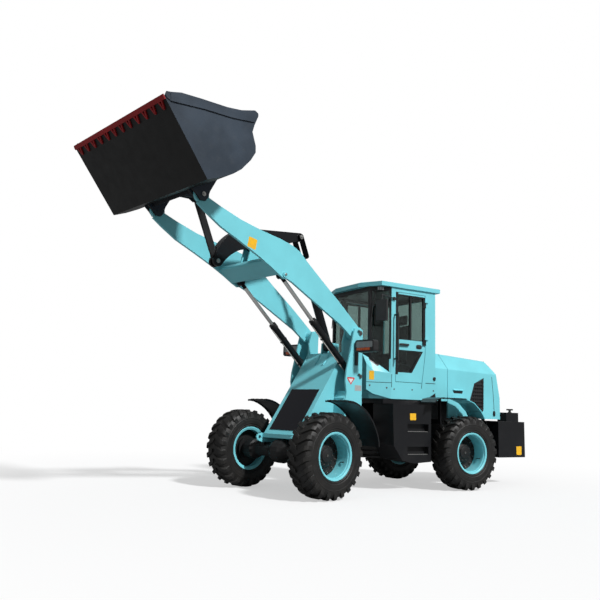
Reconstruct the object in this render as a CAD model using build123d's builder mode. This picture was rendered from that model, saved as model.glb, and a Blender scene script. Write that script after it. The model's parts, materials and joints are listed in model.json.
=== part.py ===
from build123d import *
from math import atan2, cos, degrees, hypot, radians, sin, sqrt
import os

# A battery wheel loader, hinged at its middle, with its boom raised and its bucket crowded.
# Millimetres. X runs forward, Y to the machine's left, Z up. While the pieces are made,
# the origin is on the ground under the centre pivot and the front frame stands straight.
# At the end the front frame turns by steer_angle, and everything moves so that the origin
# is at the middle of the overall box, on the ground.

# ---------------------------------------------------------------- driving dimensions
steer_angle = 12.6          # how far the front frame stands turned to the left, in degrees
run = 0.3                   # running clearance at pins, faces and hubs
gap = 8.0                   # clear gap beside panels and plates that move past each other

wheelbase = 3140.0
track = 1814.0
tyre_radius = 589.0
tyre_width = 412.0
tyre_section_width = 392.0
lug_count = 24              # bars on each half of the tread
lug_depth = 27.0
lug_thickness = 46.0
lug_angle = 32.0
wheel_sides = 24            # flats round the tyre's carcass and the rim
rim_seat_radius = 305.0
rim_lip_radius = 326.0
rim_inset = 21.0            # from the tyre's side to the outer lip
bead_y = tyre_width / 2 - rim_inset - 22.5   # half the distance between the tyre's beads
disc_offset = 60.0          # wheel disc, inboard of the tyre's middle
disc_radius = 281.0
hub_radius = 168.0

# Front frame, seen in the middle plane: X forward of the centre pivot, Z above the ground.
arm_plane = 528.0           # middle plane of each lift arm, from the machine's centre line
cylinder_plane = 446.0      # middle plane of each lift cylinder, inside its arm
arm_thickness = 40.0
tower_inner = 360.0         # inner plate, inside face
tower_outer = 610.0         # outer plate, outside face
plate = 25.0                # thickness of the tower and side plates
tower_back = 505.0
tower_top = 2455.0
arm_pivot = (565.0, 2392.0)
lift_base = (552.0, 1728.0)
tilt_base = (640.0, 2205.0)
lift_eye = (2115.0, 3076.0)
bucket_hinge = (3596.0, 3882.0)
rocker_pivot = (2270.0, 3590.0)
rocker_low = (2930.0, 3200.0)
rocker_top = (1385.0, 3850.0)
bucket_link = (3315.0, 4045.0)
pin_radius = 32.0

bucket_width = 2270.0
bucket_sheet = 14.0
side_sheet = 22.0
tooth_count = 12

axle_height = tyre_radius
front_axle_x = wheelbase / 2
rear_axle_x = -wheelbase / 2
wheel_y = track / 2

# Cab: half width and where its corners stand.
cab_side = 720.0
cab_front = 100.0
cab_corner_x = -200.0       # where the side wall meets the angled front corner
cab_corner_y = 530.0        # where the angled corner meets the windscreen
cab_back = -1125.0
cab_bottom = 1410.0
cab_top = 3200.0
cab_wall = 50.0
cab_sill = 1840.0           # lowest glass
roof_thickness = 70.0
door_front = -290.0
door_back = -900.0
door_bottom = 1685.0
door_top = 3125.0
door_thickness = 36.0
glass_thickness = 8.0

# Hood and rear end.
hood_front = -1455.0
hood_back = -2690.0
hood_side = 660.0
hood_bottom = 1135.0
hood_wall = 25.0
hood_shoulder = 1950.0
hood_shoulder_y = 430.0
hood_crown = 2215.0
hood_drop = 70.0            # how much the hood falls towards its back
hood_edge = 32.0            # rounding of its long edges
rail_y = 355.0
rail_top = 1070.0
rail_bottom = 500.0
rail_front = -320.0
rail_back = -2700.0
hood_hinge = (-2600.0, 1165.0)      # the pins that the hood turns on, at its lower back
deck_bottom = 1335.0
weight_back = -3460.0
weight_side = 610.0
weight_top = 1098.0
weight_bottom = 475.0

pieces = {}                 # node name -> (solid, whether it stands on the front frame)


def keep(name, shape, front=False):
    """Notes a finished piece under its node name."""
    pieces[name] = (shape, front)


def polygon_plate(outline, y_low, y_high, holes=()):
    """A plate cut to an outline in X and Z, from one Y to another, with round holes (x, z, radius)."""
    with BuildPart() as part:
        with BuildSketch(Plane.XZ.offset(-y_high)):
            with BuildLine():
                Polyline(*outline, close=True)
            make_face()
            for x, z, radius in holes:
                with Locations((x, z)):
                    Circle(radius, mode=Mode.SUBTRACT)
        extrude(amount=y_high - y_low)
    return part.part


def block(x_low, x_high, y_low, y_high, z_low, z_high):
    """A straight box between its limits."""
    with BuildPart() as part:
        with Locations(((x_low + x_high) / 2, (y_low + y_high) / 2, (z_low + z_high) / 2)):
            Box(x_high - x_low, y_high - y_low, z_high - z_low)
    return part.part


def cross_pin(centre, radius, y_low, y_high):
    """A round bar along Y at (x, z)."""
    with BuildPart() as part:
        with BuildSketch(Plane.XZ.offset(-y_high)):
            with Locations(centre):
                Circle(radius)
        extrude(amount=y_high - y_low)
    return part.part


def post(centre, radius, z_low, z_high):
    """A round bar along Z at (x, y)."""
    with BuildPart() as part:
        with BuildSketch(Plane.XY.offset(z_low)):
            with Locations(centre):
                Circle(radius)
        extrude(amount=z_high - z_low)
    return part.part


def strap(start, end, width, y_low, y_high):
    """A flat bar with round ends between two points in X and Z."""
    length = hypot(end[0] - start[0], end[1] - start[1])
    angle = degrees(atan2(end[1] - start[1], end[0] - start[0]))
    middle = ((start[0] + end[0]) / 2, (start[1] + end[1]) / 2)
    with BuildPart() as part:
        with BuildSketch(Plane.XZ.offset(-y_high)):
            with Locations(Location((middle[0], middle[1]), angle)):
                SlotCenterToCenter(length, width)
        extrude(amount=y_high - y_low)
    return part.part


def join(*shapes):
    """Fuses the pieces of one welded part."""
    with BuildPart() as part:
        for shape in shapes:
            add(shape)
    return part.part


def cut(shape, *tools):
    """Takes the tools away from a shape."""
    with BuildPart() as part:
        add(shape)
        for tool in tools:
            add(tool, mode=Mode.SUBTRACT)
    return part.part


def both_sides(shape):
    """The shape and its mirror image across the centre line."""
    with BuildPart() as part:
        add(shape)
        mirror(about=Plane.XZ)
    return part.part


def between(start, end, distance):
    """The point at a distance from start on the way to end."""
    length = hypot(end[0] - start[0], end[1] - start[1])
    return (start[0] + (end[0] - start[0]) * distance / length,
            start[1] + (end[1] - start[1]) * distance / length)


def axis_plane(base, end, y):
    """A plane at base in the plane Y = y, whose Z axis points to end and whose X axis is Y."""
    return Plane(origin=(base[0], y, base[1]), x_dir=(0, 1, 0),
                 z_dir=(end[0] - base[0], 0, end[1] - base[1]))


def faceted(stations, sides, to_flats=False):
    """A body about the Y axis with flat sides, through stations (y, radius) to its corners or its flats."""
    with BuildPart() as body:
        for y, radius in stations:
            with BuildSketch(Plane.XZ.offset(-y)):
                RegularPolygon(radius, sides, major_radius=not to_flats)
        loft(ruled=True)
    return body.part


def two_ended(half_stations):
    """Stations from one side across to their mirror image, given from the outside in."""
    return [(-y, radius) for y, radius in half_stations] + half_stations[::-1]


# ---------------------------------------------------------------- wheels
def make_tyre():
    """One tyre about the Y axis: a carcass with slanted bars that wrap over both shoulders."""
    half = tyre_section_width / 2
    base = tyre_radius - lug_depth
    root = base - 20
    slant = radians(lug_angle)
    reach = half * 0.89 / cos(slant)

    def crest(along):
        """Height of a bar above its root this far along, so that it stays on the tread circle."""
        return sqrt(tyre_radius ** 2 - (along * sin(slant) + lug_thickness / 2) ** 2) - root

    section = [(0, 0), (0, crest(0)), (reach * 0.84, crest(reach * 0.84) - 2),
               (reach, crest(reach) - 58),
               (reach * 0.8, 0)]
    outside = [(half, 462), (half - 48, base)]
    bead = [(half + 2, rim_lip_radius + 30), (bead_y + 8, rim_lip_radius + run),
            (bead_y, rim_seat_radius + run)]
    with BuildPart() as tyre:
        add(faceted(two_ended(outside), wheel_sides))
        add(faceted(two_ended(bead), wheel_sides, True), mode=Mode.SUBTRACT)
        for side in (1, -1):
            for index in range(lug_count):
                turn = 360 / lug_count * (index + (0.25 if side > 0 else 0.75))
                radial = Plane.XY.rotated((0, -turn, 0)).x_dir
                across = Vector(0, side, 0)
                slanted = across.rotate(Axis((0, 0, 0), radial), side * lug_angle)
                bar = Plane(origin=radial * root + across * (half * 0.10), x_dir=slanted,
                            z_dir=slanted.cross(radial))
                with BuildSketch(bar.offset(-lug_thickness / 2)):
                    with BuildLine():
                        Polyline(*section, close=True)
                    make_face()
        extrude(amount=lug_thickness)
    return tyre.part


def make_rim(side):
    """One rim about the Y axis, dished to a hub with a domed cap, which faces side in Y."""
    lip = tyre_width / 2 - rim_inset
    flange = 14.0
    disc = -disc_offset
    barrel = [(lip, rim_lip_radius), (lip - flange, rim_lip_radius),
              (lip - flange - 8, rim_seat_radius)]
    dish = [(disc + 9, disc_radius), (lip - 46, disc_radius), (lip + 1, rim_lip_radius - 12)]
    inner = [(-lip - 1, rim_lip_radius - 12), (flange - lip, disc_radius), (disc - 9, disc_radius)]
    with BuildPart() as rim:
        add(faceted(two_ended(barrel), wheel_sides, True))
        add(faceted(dish, wheel_sides, True), mode=Mode.SUBTRACT)
        add(faceted(inner, wheel_sides, True), mode=Mode.SUBTRACT)
        with BuildSketch(Plane.XY):
            with BuildLine():
                Polyline((hub_radius, disc - 62), (0, disc - 62), (0, disc + 88), (96, disc + 88),
                         (hub_radius - 20, disc + 60), (hub_radius, disc + 9), close=True)
            make_face()
        revolve(axis=Axis.Y, revolution_arc=360)
    return rim.part if side > 0 else rim.part.rotate(Axis.Z, 180)


corners = {"front_left": (front_axle_x, 1, True), "front_right": (front_axle_x, -1, True),
           "rear_left": (rear_axle_x, 1, False), "rear_right": (rear_axle_x, -1, False)}
tyre_master = make_tyre()
for corner, (wheel_x, side, on_front) in corners.items():
    place = Location((wheel_x, side * wheel_y, axle_height))
    keep("tyre_" + corner, tyre_master.moved(place), on_front)
    keep("rim_" + corner, make_rim(side).moved(place), on_front)

# The hub's inner face, measured from the machine's centre line.
hub_face = wheel_y - disc_offset - 62.0


def make_axle(pad_low, pad_high, pad_y):
    """An axle about the Y axis at the origin: differential, tapered tubes, brakes, and two pads."""
    housing = [(hub_face - 60, 150), (575, 150), (560, 120), (520, 88), (200, 98), (140, 140),
               (70, 172)]
    with BuildPart() as axle:
        add(faceted(two_ended(housing), 16))
        for y_high in (hub_face - run, 62 + run - hub_face):
            with BuildSketch(Plane.XZ.offset(-y_high)):
                Circle(118)
            extrude(amount=62)
        with BuildSketch(Plane.XY.offset(pad_low)):
            with Locations((0, pad_y), (0, -pad_y)):
                Rectangle(150, 110)
        extrude(amount=pad_high - pad_low)
    return axle.part


# ---------------------------------------------------------------- front frame
slope_top = (700.0, 2095.0)     # upper edge of the sloping front plate
slope_foot = (1590.0, 835.0)    # its lower edge
toe_eye = (1690.0, 778.0)       # towing eye at the foot of each side plate
toe_hole = 27.0
pad_top = 700.0                 # where the front frame sits on its axle

inner_outline = [(tower_back, tower_top), (655, tower_top), (715, 2250),
                 (slope_top[0] + 8, slope_top[1]),
                 (930, 1770), (slope_foot[0], slope_foot[1]), (1640, 837), (1640, pad_top),
                 (1480, pad_top), (1380, 560), (1120, 430),
                 (tower_back, 430)]
outer_outline = [(tower_back, tower_top), (690, tower_top), (740, 2272), (782, 2086), (862, 1793),
                 (880, 1642), (848, 1466), (884, 1346), (890, 1060), (tower_back, 1060)]
inner_low, inner_high = tower_inner, tower_inner + plate
outer_low, outer_high = tower_outer - plate, tower_outer

inner_plate = polygon_plate(inner_outline, inner_low, inner_high)
eye_outline = [(1640, 837), (1660, 838), (1732, 815), (1750, 775), (1732, 735), (1690, 718),
               (1640, pad_top)]
keep("tie_down_eyes", both_sides(polygon_plate(eye_outline, inner_low, inner_high,
                                               [(*toe_eye, toe_hole)])), True)
outer_plate = polygon_plate(outer_outline, outer_low, outer_high)
# Between the two plates: pins of the arm and the lift cylinder, a shelf and the pocket's floor.
arm_pin = cross_pin(arm_pivot, pin_radius + 6, inner_low, outer_high + 12)
cylinder_pin = cross_pin(lift_base, pin_radius, inner_low, outer_high + 12)
shelf = block(tower_back, 890, inner_high, outer_low, 1060, 1060 + plate)
pocket = polygon_plate([(tower_back, 1500), (tower_back, 1475), (780, 1475), (860, 1380), (860, 1080),
                        (884, 1080), (884, 1392), (795, 1500)], inner_high, outer_low)
side_tower = join(inner_plate, outer_plate, arm_pin, cylinder_pin, shelf, pocket)

slope_angle = atan2(slope_foot[1] - slope_top[1], slope_foot[0] - slope_top[0])
slope_thickness = 20.0
slope_in = (sin(slope_angle) * slope_thickness, -cos(slope_angle) * slope_thickness)
slope_plate = polygon_plate([slope_top, slope_foot,
                             (slope_foot[0] + slope_in[0], slope_foot[1] + slope_in[1]),
                             (slope_top[0] + slope_in[0], slope_top[1] + slope_in[1])],
                            -inner_low, inner_low)
foot_beam = polygon_plate([(1540, 880), (slope_foot[0], slope_foot[1]), (1640, 835), (1640, 775),
                           (1540, 775)], -inner_low, inner_low)
back_plate = block(tower_back, tower_back + plate, -inner_low, inner_low, 430, 1900)
belly_plate = block(tower_back, 1110, -inner_low, inner_low, 430, 450)
tilt_ears = [polygon_plate([(tower_back, 2260), (tower_back, 1880), (830, 1880), (850, 1905),
                            (700, 2110),
                            (690, 2260)], y_low, y_high)
             for y_low, y_high in ((78, 103), (-103, -78))]
tilt_pin = cross_pin(tilt_base, pin_radius, -103, 103)
tilt_brace = block(tower_back, tower_back + plate, -inner_low, inner_low, 1870, 2120)

# Hinge plates that reach back to the centre pivot.
hinge_levels = (500.0, 985.0)   # underside of the lower and the upper hinge plate
hinge_plate = 45.0
pivot_radius = 42.0
hinge_eye = 118.0


def make_hinge_plate(z_low):
    with BuildPart() as part:
        with BuildSketch(Plane.XY.offset(z_low)):
            with BuildLine():
                Polyline((tower_back + plate, -320), (tower_back + plate, 320), (330, 300),
                         (40, hinge_eye),
                         (40, -hinge_eye), (330, -300), close=True)
            make_face()
            Circle(hinge_eye)
            Circle(pivot_radius + run, mode=Mode.SUBTRACT)
        extrude(amount=hinge_plate)
    return part.part


steer_pin_front = (330.0, 235.0)    # where each steering cylinder holds the front frame
steer_pin_rear = (-560.0, 222.0)
steer_level = 742.0                 # height of the steering cylinders' middle
hinge_plates = [make_hinge_plate(level) for level in hinge_levels]
hinge_web = block(tower_back - 95, tower_back, -300, 300, hinge_levels[0] + hinge_plate,
                  hinge_levels[1])
steer_ears = [block(steer_pin_front[0] - 42, tower_back - 95, *sorted((side * 180, side * 290)), z_low,
                    z_low + 18)
              for side in (1, -1) for z_low in (steer_level - 24 - gap - 18, steer_level + 24 + gap)]
front_frame = join(both_sides(side_tower), slope_plate, foot_beam, back_plate, belly_plate, *tilt_ears,
                   tilt_pin, tilt_brace, *hinge_plates, hinge_web, *steer_ears)
keep("front_frame", front_frame, True)

# Cover plate on the slope, with a wide margin all round.
panel_half = 300.0
panel_top, panel_foot = between(slope_foot, slope_top, 820), between(slope_foot, slope_top, 70)
panel_out = (-sin(slope_angle) * 8.0, cos(slope_angle) * 8.0)
keep("front_panel", polygon_plate([panel_top, panel_foot,
                                   (panel_foot[0] + panel_out[0], panel_foot[1] + panel_out[1]),
                                   (panel_top[0] + panel_out[0], panel_top[1] + panel_out[1])],
                                  -panel_half, panel_half), True)

keep("front_axle", make_axle(60, pad_top - axle_height, tower_inner + plate / 2)
     .moved(Location((front_axle_x, 0, axle_height))), True)


def make_fender(path, y_low, y_high, thickness):
    """A plate bent along a path in X and Z."""
    with BuildPart() as part:
        with BuildSketch(Plane.XZ.offset(-y_high)):
            with BuildLine() as line:
                Polyline(*path)
            trace(line.line, thickness)
        extrude(amount=y_high - y_low)
    return part.part


fender_path = [(1743, 1312), (1323, 1339), (958, 1209), (801, 1056), (685, 844), (660, 702)]
front_fender = make_fender(fender_path, tower_outer + 40, 1105, 14)
fender_arm = block(840, 884, tower_outer, tower_outer + 60, 1090, 1125)
fender_ribs = [make_fender(fender_path, y, y + 26, 30) for y in (690, 795, 900, 1005)]
keep("front_fenders", both_sides(join(front_fender, *fender_ribs, fender_arm)), True)

# Lamps on brackets outside the towers.
lamp_bracket = block(640, 680, tower_outer, 642, 1890, 2100)
with BuildPart() as lamp:
    with BuildSketch(Plane(origin=(590, 815, 2178), x_dir=(0, 1, 0), z_dir=(1, 0, 0))):
        RectangleRounded(370, 185, 42)
    extrude(amount=110)
keep("headlamps", both_sides(join(lamp_bracket, lamp.part)), True)

# ---------------------------------------------------------------- lift arms
arm_low, arm_high = arm_plane - arm_thickness / 2, arm_plane + arm_thickness / 2
arm_top_edge = [(3500, 3872), (3283, 3796), (2941, 3695), (2584, 3625), (2210, 3572), (1980, 3520),
                (1830, 3455), (1706, 3352), (1385, 3116), (938, 2800)]
arm_low_edge = [(652, 2300), (928, 2482), (1369, 2696), (1788, 2900), (1960, 2984), (2060, 3020),
                (2150, 3026), (2230, 3062), (2377, 3144), (2601, 3253), (2923, 3390), (3266, 3528),
                (3506, 3665), (3660, 3765)]
with BuildPart() as left_arm:
    with BuildSketch(Plane.XZ.offset(-arm_high)):
        with BuildLine():
            Polyline((540, 2497), *arm_low_edge, *arm_top_edge, close=True)
        make_face()
        with Locations(arm_pivot):
            Circle(105)
        with Locations(bucket_hinge):
            Circle(112)
        with Locations(lift_eye):
            Circle(62)
        with Locations(bucket_hinge):
            Circle(pin_radius + run, mode=Mode.SUBTRACT)
    extrude(amount=arm_thickness)
arm_boss = cross_pin(arm_pivot, 92, inner_high + run, outer_low - run)
eye_cut = cross_pin(arm_pivot, pin_radius + 6 + run, inner_low, outer_high)
# The head of the lift cylinder's pin stands out on the arm's outer face.
lift_head = [cross_pin(lift_eye, radius, arm_high - 1, arm_high + proud) for radius,
             proud in ((46, 14), (24, 22))]
arm_solid = cut(join(left_arm.part, arm_boss, *lift_head), eye_cut)

beam_middle = (2325.0, 3170.0)
beam_angle = 31.0
with BuildPart() as cross_beam:
    with BuildSketch(Plane.XZ.offset(-arm_low)):
        with Locations(Location(beam_middle, beam_angle)):
            RectangleRounded(320, 90, 30)
    extrude(amount=2 * arm_low)
rocker_half = 60.0
bracket_gap = rocker_half + 5.0
rocker_bracket = [polygon_plate([(2190, 3140), (2440, 3240), (2350, 3620), (2200, 3620)], y_low, y_high)
                  for y_low, y_high in ((bracket_gap, bracket_gap + 22), (-bracket_gap - 22,
                                                                          -bracket_gap))]
rocker_pin = cross_pin(rocker_pivot, pin_radius, -bracket_gap - 22, bracket_gap + 22)
keep("lift_arms", join(both_sides(arm_solid), cross_beam.part, *rocker_bracket, rocker_pin), True)

# Rocker: a boomerang whose long arm meets the tilt cylinder and whose short arm pulls the link.
with BuildPart() as rocker:
    with BuildSketch(Plane.XZ.offset(-rocker_half)):
        with BuildLine():
            ThreePointArc((2990, 3270), (2745, 3620), (2330, 3785))
            Line((2330, 3785), (1390, 3915))
            Line((1390, 3915), (1380, 3795))
            Line((1380, 3795), (2180, 3490))
            ThreePointArc((2180, 3490), (2620, 3390), (2870, 3150))
            Line((2870, 3150), (2990, 3270))
        make_face()
        with Locations(rocker_low):
            Circle(78)
        with Locations(rocker_top):
            Circle(66)
        with Locations(rocker_pivot):
            Circle(125)
        with Locations(rocker_pivot):
            Circle(pin_radius + run, mode=Mode.SUBTRACT)
    extrude(amount=2 * rocker_half)
    # The long arm is single; the short arm is forked round the link.
    with BuildSketch(Plane.XZ.offset(-22)):
        with Locations(rocker_low):
            Circle(200)
    extrude(amount=44, mode=Mode.SUBTRACT)
rocker_low_pin = cross_pin(rocker_low, pin_radius - 6, -rocker_half, rocker_half)
keep("rocker", join(rocker.part, rocker_low_pin), True)

link_half = 16.0
link_plate = strap(rocker_low, bucket_link, 104, -link_half, link_half)
keep("bucket_link", cut(link_plate, cross_pin(rocker_low, pin_radius - 6 + run, -link_half, link_half)),
     True)

# ---------------------------------------------------------------- bucket
edge_tip = (4598.0, 4702.0)
heel = (3930.0, 3865.0)
floor_angle = atan2(edge_tip[1] - heel[1], edge_tip[0] - heel[0])
floor_length = 1040.0
bucket_half = bucket_width / 2
side_outline = [(4500, 4580), (4521, 4750), (4374, 4792), (4093, 4819), (3706, 4847), (3488, 4883),
                (3262, 4958), (3205, 4935), (3200, 4900), (3290, 4680), (3288, 4640), (3225, 4480),
                (3225, 4400), (3300, 4285), (3440, 4130), (3560, 4042), (3750, 3945), heel]
# The sheet of the floor and back, as its outside line; its inside lies one sheet thickness in.
shell_line = [between(heel, edge_tip, floor_length), heel, (3750, 3938), (3560, 4036), (3436, 4128),
              (3298, 4285), (3226, 4405), (3230, 4490), (3292, 4660), (3240, 4850), (3205, 4925)]
with BuildPart() as bucket_shell:
    with BuildSketch(Plane.XZ.offset(-bucket_half)):
        with BuildLine() as shell_path:
            Polyline(*shell_line)
        trace(shell_path.line, bucket_sheet)
    extrude(amount=bucket_width)
bucket_side = polygon_plate(side_outline, bucket_half - side_sheet, bucket_half)
rim_strip = polygon_plate([(4500, 4640), (4516, 4745), (4374, 4788), (4093, 4815), (3706, 4843),
                           (3488, 4879),
                           (3268, 4950), (3215, 4928), (3270, 4790), (3600, 4735), (4050, 4700),
                           (4380, 4655)],
                          bucket_half - 2, bucket_half + 14)
hinge_lug = polygon_plate([(3350, 4215), (3500, 3940), (3525, 3850), (3560, 3800), (3640, 3795),
                           (3690, 3850),
                           (3770, 3915), (3760, 3960), (3500, 4090)], 0, 30)
lug_faces = (arm_low - gap - 30, arm_high + gap)
hinge_lugs = [hinge_lug.moved(Location((0, y, 0))) for y in lug_faces]
hinge_pin = cross_pin(bucket_hinge, pin_radius, lug_faces[0] - 6, lug_faces[1] + 36)
link_lug_outline = [(3250, 4300), (3252, 4090), (3262, 4000), (3330, 3965), (3400, 4000), (3560, 3990),
                    (3640, 4000), (3480, 4100)]
link_lug = polygon_plate(link_lug_outline, link_half + gap, link_half + gap + 26)
link_head = cross_pin(bucket_link, 40, link_half + gap + 20, link_half + gap + 38)
back_plate_rib = polygon_plate([(3500, 4086), (3720, 3956), (3700, 3900), (3690, 3905), (3690, 3940),
                                (3490, 4060)], -lug_faces[0], lug_faces[0])
keep("bucket", join(bucket_shell.part, both_sides(join(bucket_side, rim_strip, *hinge_lugs, hinge_pin,
                                                       link_lug, link_head)), back_plate_rib), True)

# Cutting edge along the floor's front, with triangular teeth on the floor's underside.
edge_width = 62.0
edge_thickness = 18.0
tooth_length = 185.0
floor_plane = Plane(origin=(edge_tip[0], 0, edge_tip[1]), x_dir=(0, 1, 0),
                    z_dir=(sin(floor_angle), 0, -cos(floor_angle)))
tooth_pitch = (bucket_width - 2 * side_sheet) / tooth_count
tooth_half = tooth_pitch / 2 - 12
with BuildPart() as cutting_edge:
    with BuildSketch(floor_plane.offset(bucket_sheet / 2)):
        with Locations((0, -edge_width / 2)):
            Rectangle(bucket_width, edge_width)
        with Locations([((index + 0.5 - tooth_count / 2) * tooth_pitch,
                         0) for index in range(tooth_count)]):
            Polygon((-tooth_half, 5 - edge_width), (tooth_half, 5 - edge_width),
                    (0, -edge_width - tooth_length), align=None)
    extrude(amount=edge_thickness)
keep("cutting_edge", cutting_edge.part, True)


# ---------------------------------------------------------------- cylinders
def make_barrel(base, end, y, radius, length, eye_half, bore, eye_radius):
    """A cylinder barrel from its base eye towards end, open at its far end for the rod."""
    with BuildPart() as barrel:
        with BuildSketch(axis_plane(base, end, y).offset(eye_radius - 12)):
            Circle(radius)
        extrude(amount=length - eye_radius + 12)
        with BuildSketch(axis_plane(base, end, y).offset(length - 90)):
            Circle(radius + 6)
        extrude(amount=90)
        add(cross_pin(base, eye_radius, y - eye_half, y + eye_half))
        add(cross_pin(base, bore + run, y - eye_half - 1, y + eye_half + 1), mode=Mode.SUBTRACT)
        with BuildSketch(axis_plane(base, end, y).offset(eye_radius + 40)):
            Circle(radius - 12)
        extrude(amount=length, mode=Mode.SUBTRACT)
    return barrel.part


def make_rod(base, end, y, radius, start, piston, fork_gap, fork_plate, fork_depth, eye_radius):
    """A rod from inside its barrel out to a fork whose two ears stand on both sides of the driven plate."""
    reach = hypot(end[0] - base[0], end[1] - base[1])
    line = axis_plane(base, end, y)
    with BuildPart() as rod:
        with BuildSketch(line.offset(start)):
            Circle(piston)
        extrude(amount=45)
        with BuildSketch(line.offset(start)):
            Circle(radius)
        extrude(amount=reach - fork_depth - start)
        root = between(end, base, fork_depth)
        for y_low in (y - fork_gap - fork_plate, y + fork_gap):
            add(strap(root, end, 2 * eye_radius, y_low, y_low + fork_plate))
        with BuildSketch(line.offset(reach - fork_depth - 40)):
            Rectangle(2 * (fork_gap + fork_plate), 2 * eye_radius - 8)
        extrude(amount=50)
    return rod.part


def make_eye_rod(base, end, y, radius, start, piston, eye_half, eye_radius):
    """A rod from inside its barrel out to one wide eye, which holds its own pin."""
    reach = hypot(end[0] - base[0], end[1] - base[1])
    line = axis_plane(base, end, y)
    with BuildPart() as rod:
        with BuildSketch(line.offset(start)):
            Circle(piston)
        extrude(amount=45)
        with BuildSketch(line.offset(start)):
            Circle(radius)
        extrude(amount=reach - start - eye_radius / 2)
        add(cross_pin(end, eye_radius, y - eye_half, y + eye_half))
        add(cross_pin(end, 24, y - eye_half - 8, y + eye_half + 8))
    return rod.part


lift_barrel_length = 1195.0
lift_barrel_radius = 50.0
lift_rod_radius = 29.0
for side, label in ((1, "left"), (-1, "right")):
    y = side * cylinder_plane
    keep("lift_barrel_" + label,
         make_barrel(lift_base, lift_eye, y, lift_barrel_radius, lift_barrel_length, 50, pin_radius,
                     66), True)
    keep("lift_rod_" + label,
         make_eye_rod(lift_base, lift_eye, y, lift_rod_radius, 830, lift_barrel_radius - 12 - run, 38,
                      50), True)

tilt_barrel_length = 960.0
tilt_barrel_radius = 66.0
keep("tilt_barrel", make_barrel(tilt_base, rocker_top, 0, tilt_barrel_radius, tilt_barrel_length, 50,
                                pin_radius, 72), True)
keep("tilt_rod", make_rod(tilt_base, rocker_top, 0, 34, 760, tilt_barrel_radius - 12 - run,
                          rocker_half + gap, 18, 300, 52), True)


def make_steering_barrel(base, end, length):
    """A steering barrel that swings about an upright pin in the rear frame."""
    line = Plane(origin=(base[0], base[1], steer_level), x_dir=(0, 0, 1),
                 z_dir=(end[0] - base[0], end[1] - base[1], 0))
    with BuildPart() as barrel:
        with BuildSketch(line.offset(54)):
            Circle(36)
        extrude(amount=length - 54)
        with BuildSketch(line.offset(30)):
            Rectangle(56, 50)
        extrude(amount=30)
        add(post(base, 46, steer_level - 30, steer_level + 30))
        add(post(base, 22 + run, steer_level - 31, steer_level + 31), mode=Mode.SUBTRACT)
        with BuildSketch(line.offset(70)):
            Circle(30)
        extrude(amount=length, mode=Mode.SUBTRACT)
    return barrel.part


def make_steering_rod(base, end, start):
    """A steering rod whose flat eye lies over the front frame's bracket."""
    line = Plane(origin=(base[0], base[1], steer_level), x_dir=(0, 0, 1),
                 z_dir=(end[0] - base[0], end[1] - base[1], 0))
    reach = hypot(end[0] - base[0], end[1] - base[1])
    with BuildPart() as rod:
        with BuildSketch(line.offset(start)):
            Circle(18)
        extrude(amount=reach - start - 30)
        with BuildSketch(line.offset(start)):
            Circle(30 - run)
        extrude(amount=35)
        add(post(end, 40, steer_level - 24, steer_level + 24))
    return rod.part


def turned(point):
    """A point of the straight front frame, as it stands when steered, in X and Y."""
    angle = radians(steer_angle)
    return (point[0] * cos(angle) - point[1] * sin(angle),
            point[0] * sin(angle) + point[1] * cos(angle))


steer_barrel_length = 640.0
steer_rod_length = 435.0
steer_ends = {"left": turned(steer_pin_front),
              "right": turned((steer_pin_front[0], -steer_pin_front[1]))}
for side, label in ((1, "left"), (-1, "right")):
    base = (steer_pin_rear[0], side * steer_pin_rear[1])
    reach = hypot(steer_ends[label][0] - base[0], steer_ends[label][1] - base[1])
    keep("steering_barrel_" + label, make_steering_barrel(base, steer_ends[label], steer_barrel_length))
    keep("steering_rod_" + label, make_steering_rod(base, steer_ends[label], reach - steer_rod_length))

# ---------------------------------------------------------------- rear frame
rail = polygon_plate([(rail_front, rail_top), (rail_front, rail_bottom), (-1180, rail_bottom),
                      (-1330, 715),
                      (-1810, 715), (-1950, rail_bottom), (rail_back, rail_bottom),
                      (rail_back, rail_top)],
                     rail_y - 25, rail_y)
rail_wall = block(rail_front - 25, rail_front, -rail_y, rail_y, rail_bottom, rail_top)
rear_wall = block(rail_back, rail_back + 25, -rail_y, rail_y, rail_bottom, rail_top)
rail_floor = block(-1180, rail_front, -rail_y, rail_y, rail_bottom, rail_bottom + 16)
rail_cross = block(-1350, -1325, -rail_y, rail_y, 715, rail_top)
deck = block(-1190, -60, -cab_side + 20, cab_side - 20, deck_bottom, cab_bottom)
posts = [block(x, x + 90, y - 45, y + 45, rail_top - 5, deck_bottom + 5)
         for x in (-420, -1150) for y in (rail_y - 45, 45 - rail_y)]


def make_rear_eye(z_low):
    """A clevis plate that reaches forward to the centre pivot."""
    with BuildPart() as part:
        with BuildSketch(Plane.XY.offset(z_low)):
            with BuildLine():
                Polyline((rail_front - 10, -300), (rail_front - 10, 300), (-30, hinge_eye),
                         (-30, -hinge_eye),
                         close=True)
            make_face()
            Circle(hinge_eye)
        extrude(amount=30)
    return part.part


eye_plates = []
for level in hinge_levels:
    eye_plates.append(make_rear_eye(level - 30 - run * 2))
    eye_plates.append(make_rear_eye(level + hinge_plate + run * 2))
pivot_pins = [post((0, 0), pivot_radius, level - 45,
                   level + hinge_plate + 45) for level in hinge_levels]
steer_brackets = []
for side in (1, -1):
    for z_low in (steer_level - 46 - run, steer_level + 30 + run):
        steer_brackets.append(block(steer_pin_rear[0] - 45, steer_pin_rear[0] + 38,
                                    *sorted((side * 195, side * (rail_y - 10))), z_low, z_low + 16))
    steer_brackets.append(post((steer_pin_rear[0], side * steer_pin_rear[1]), 22, steer_level - 46,
                               steer_level + 46))
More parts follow.
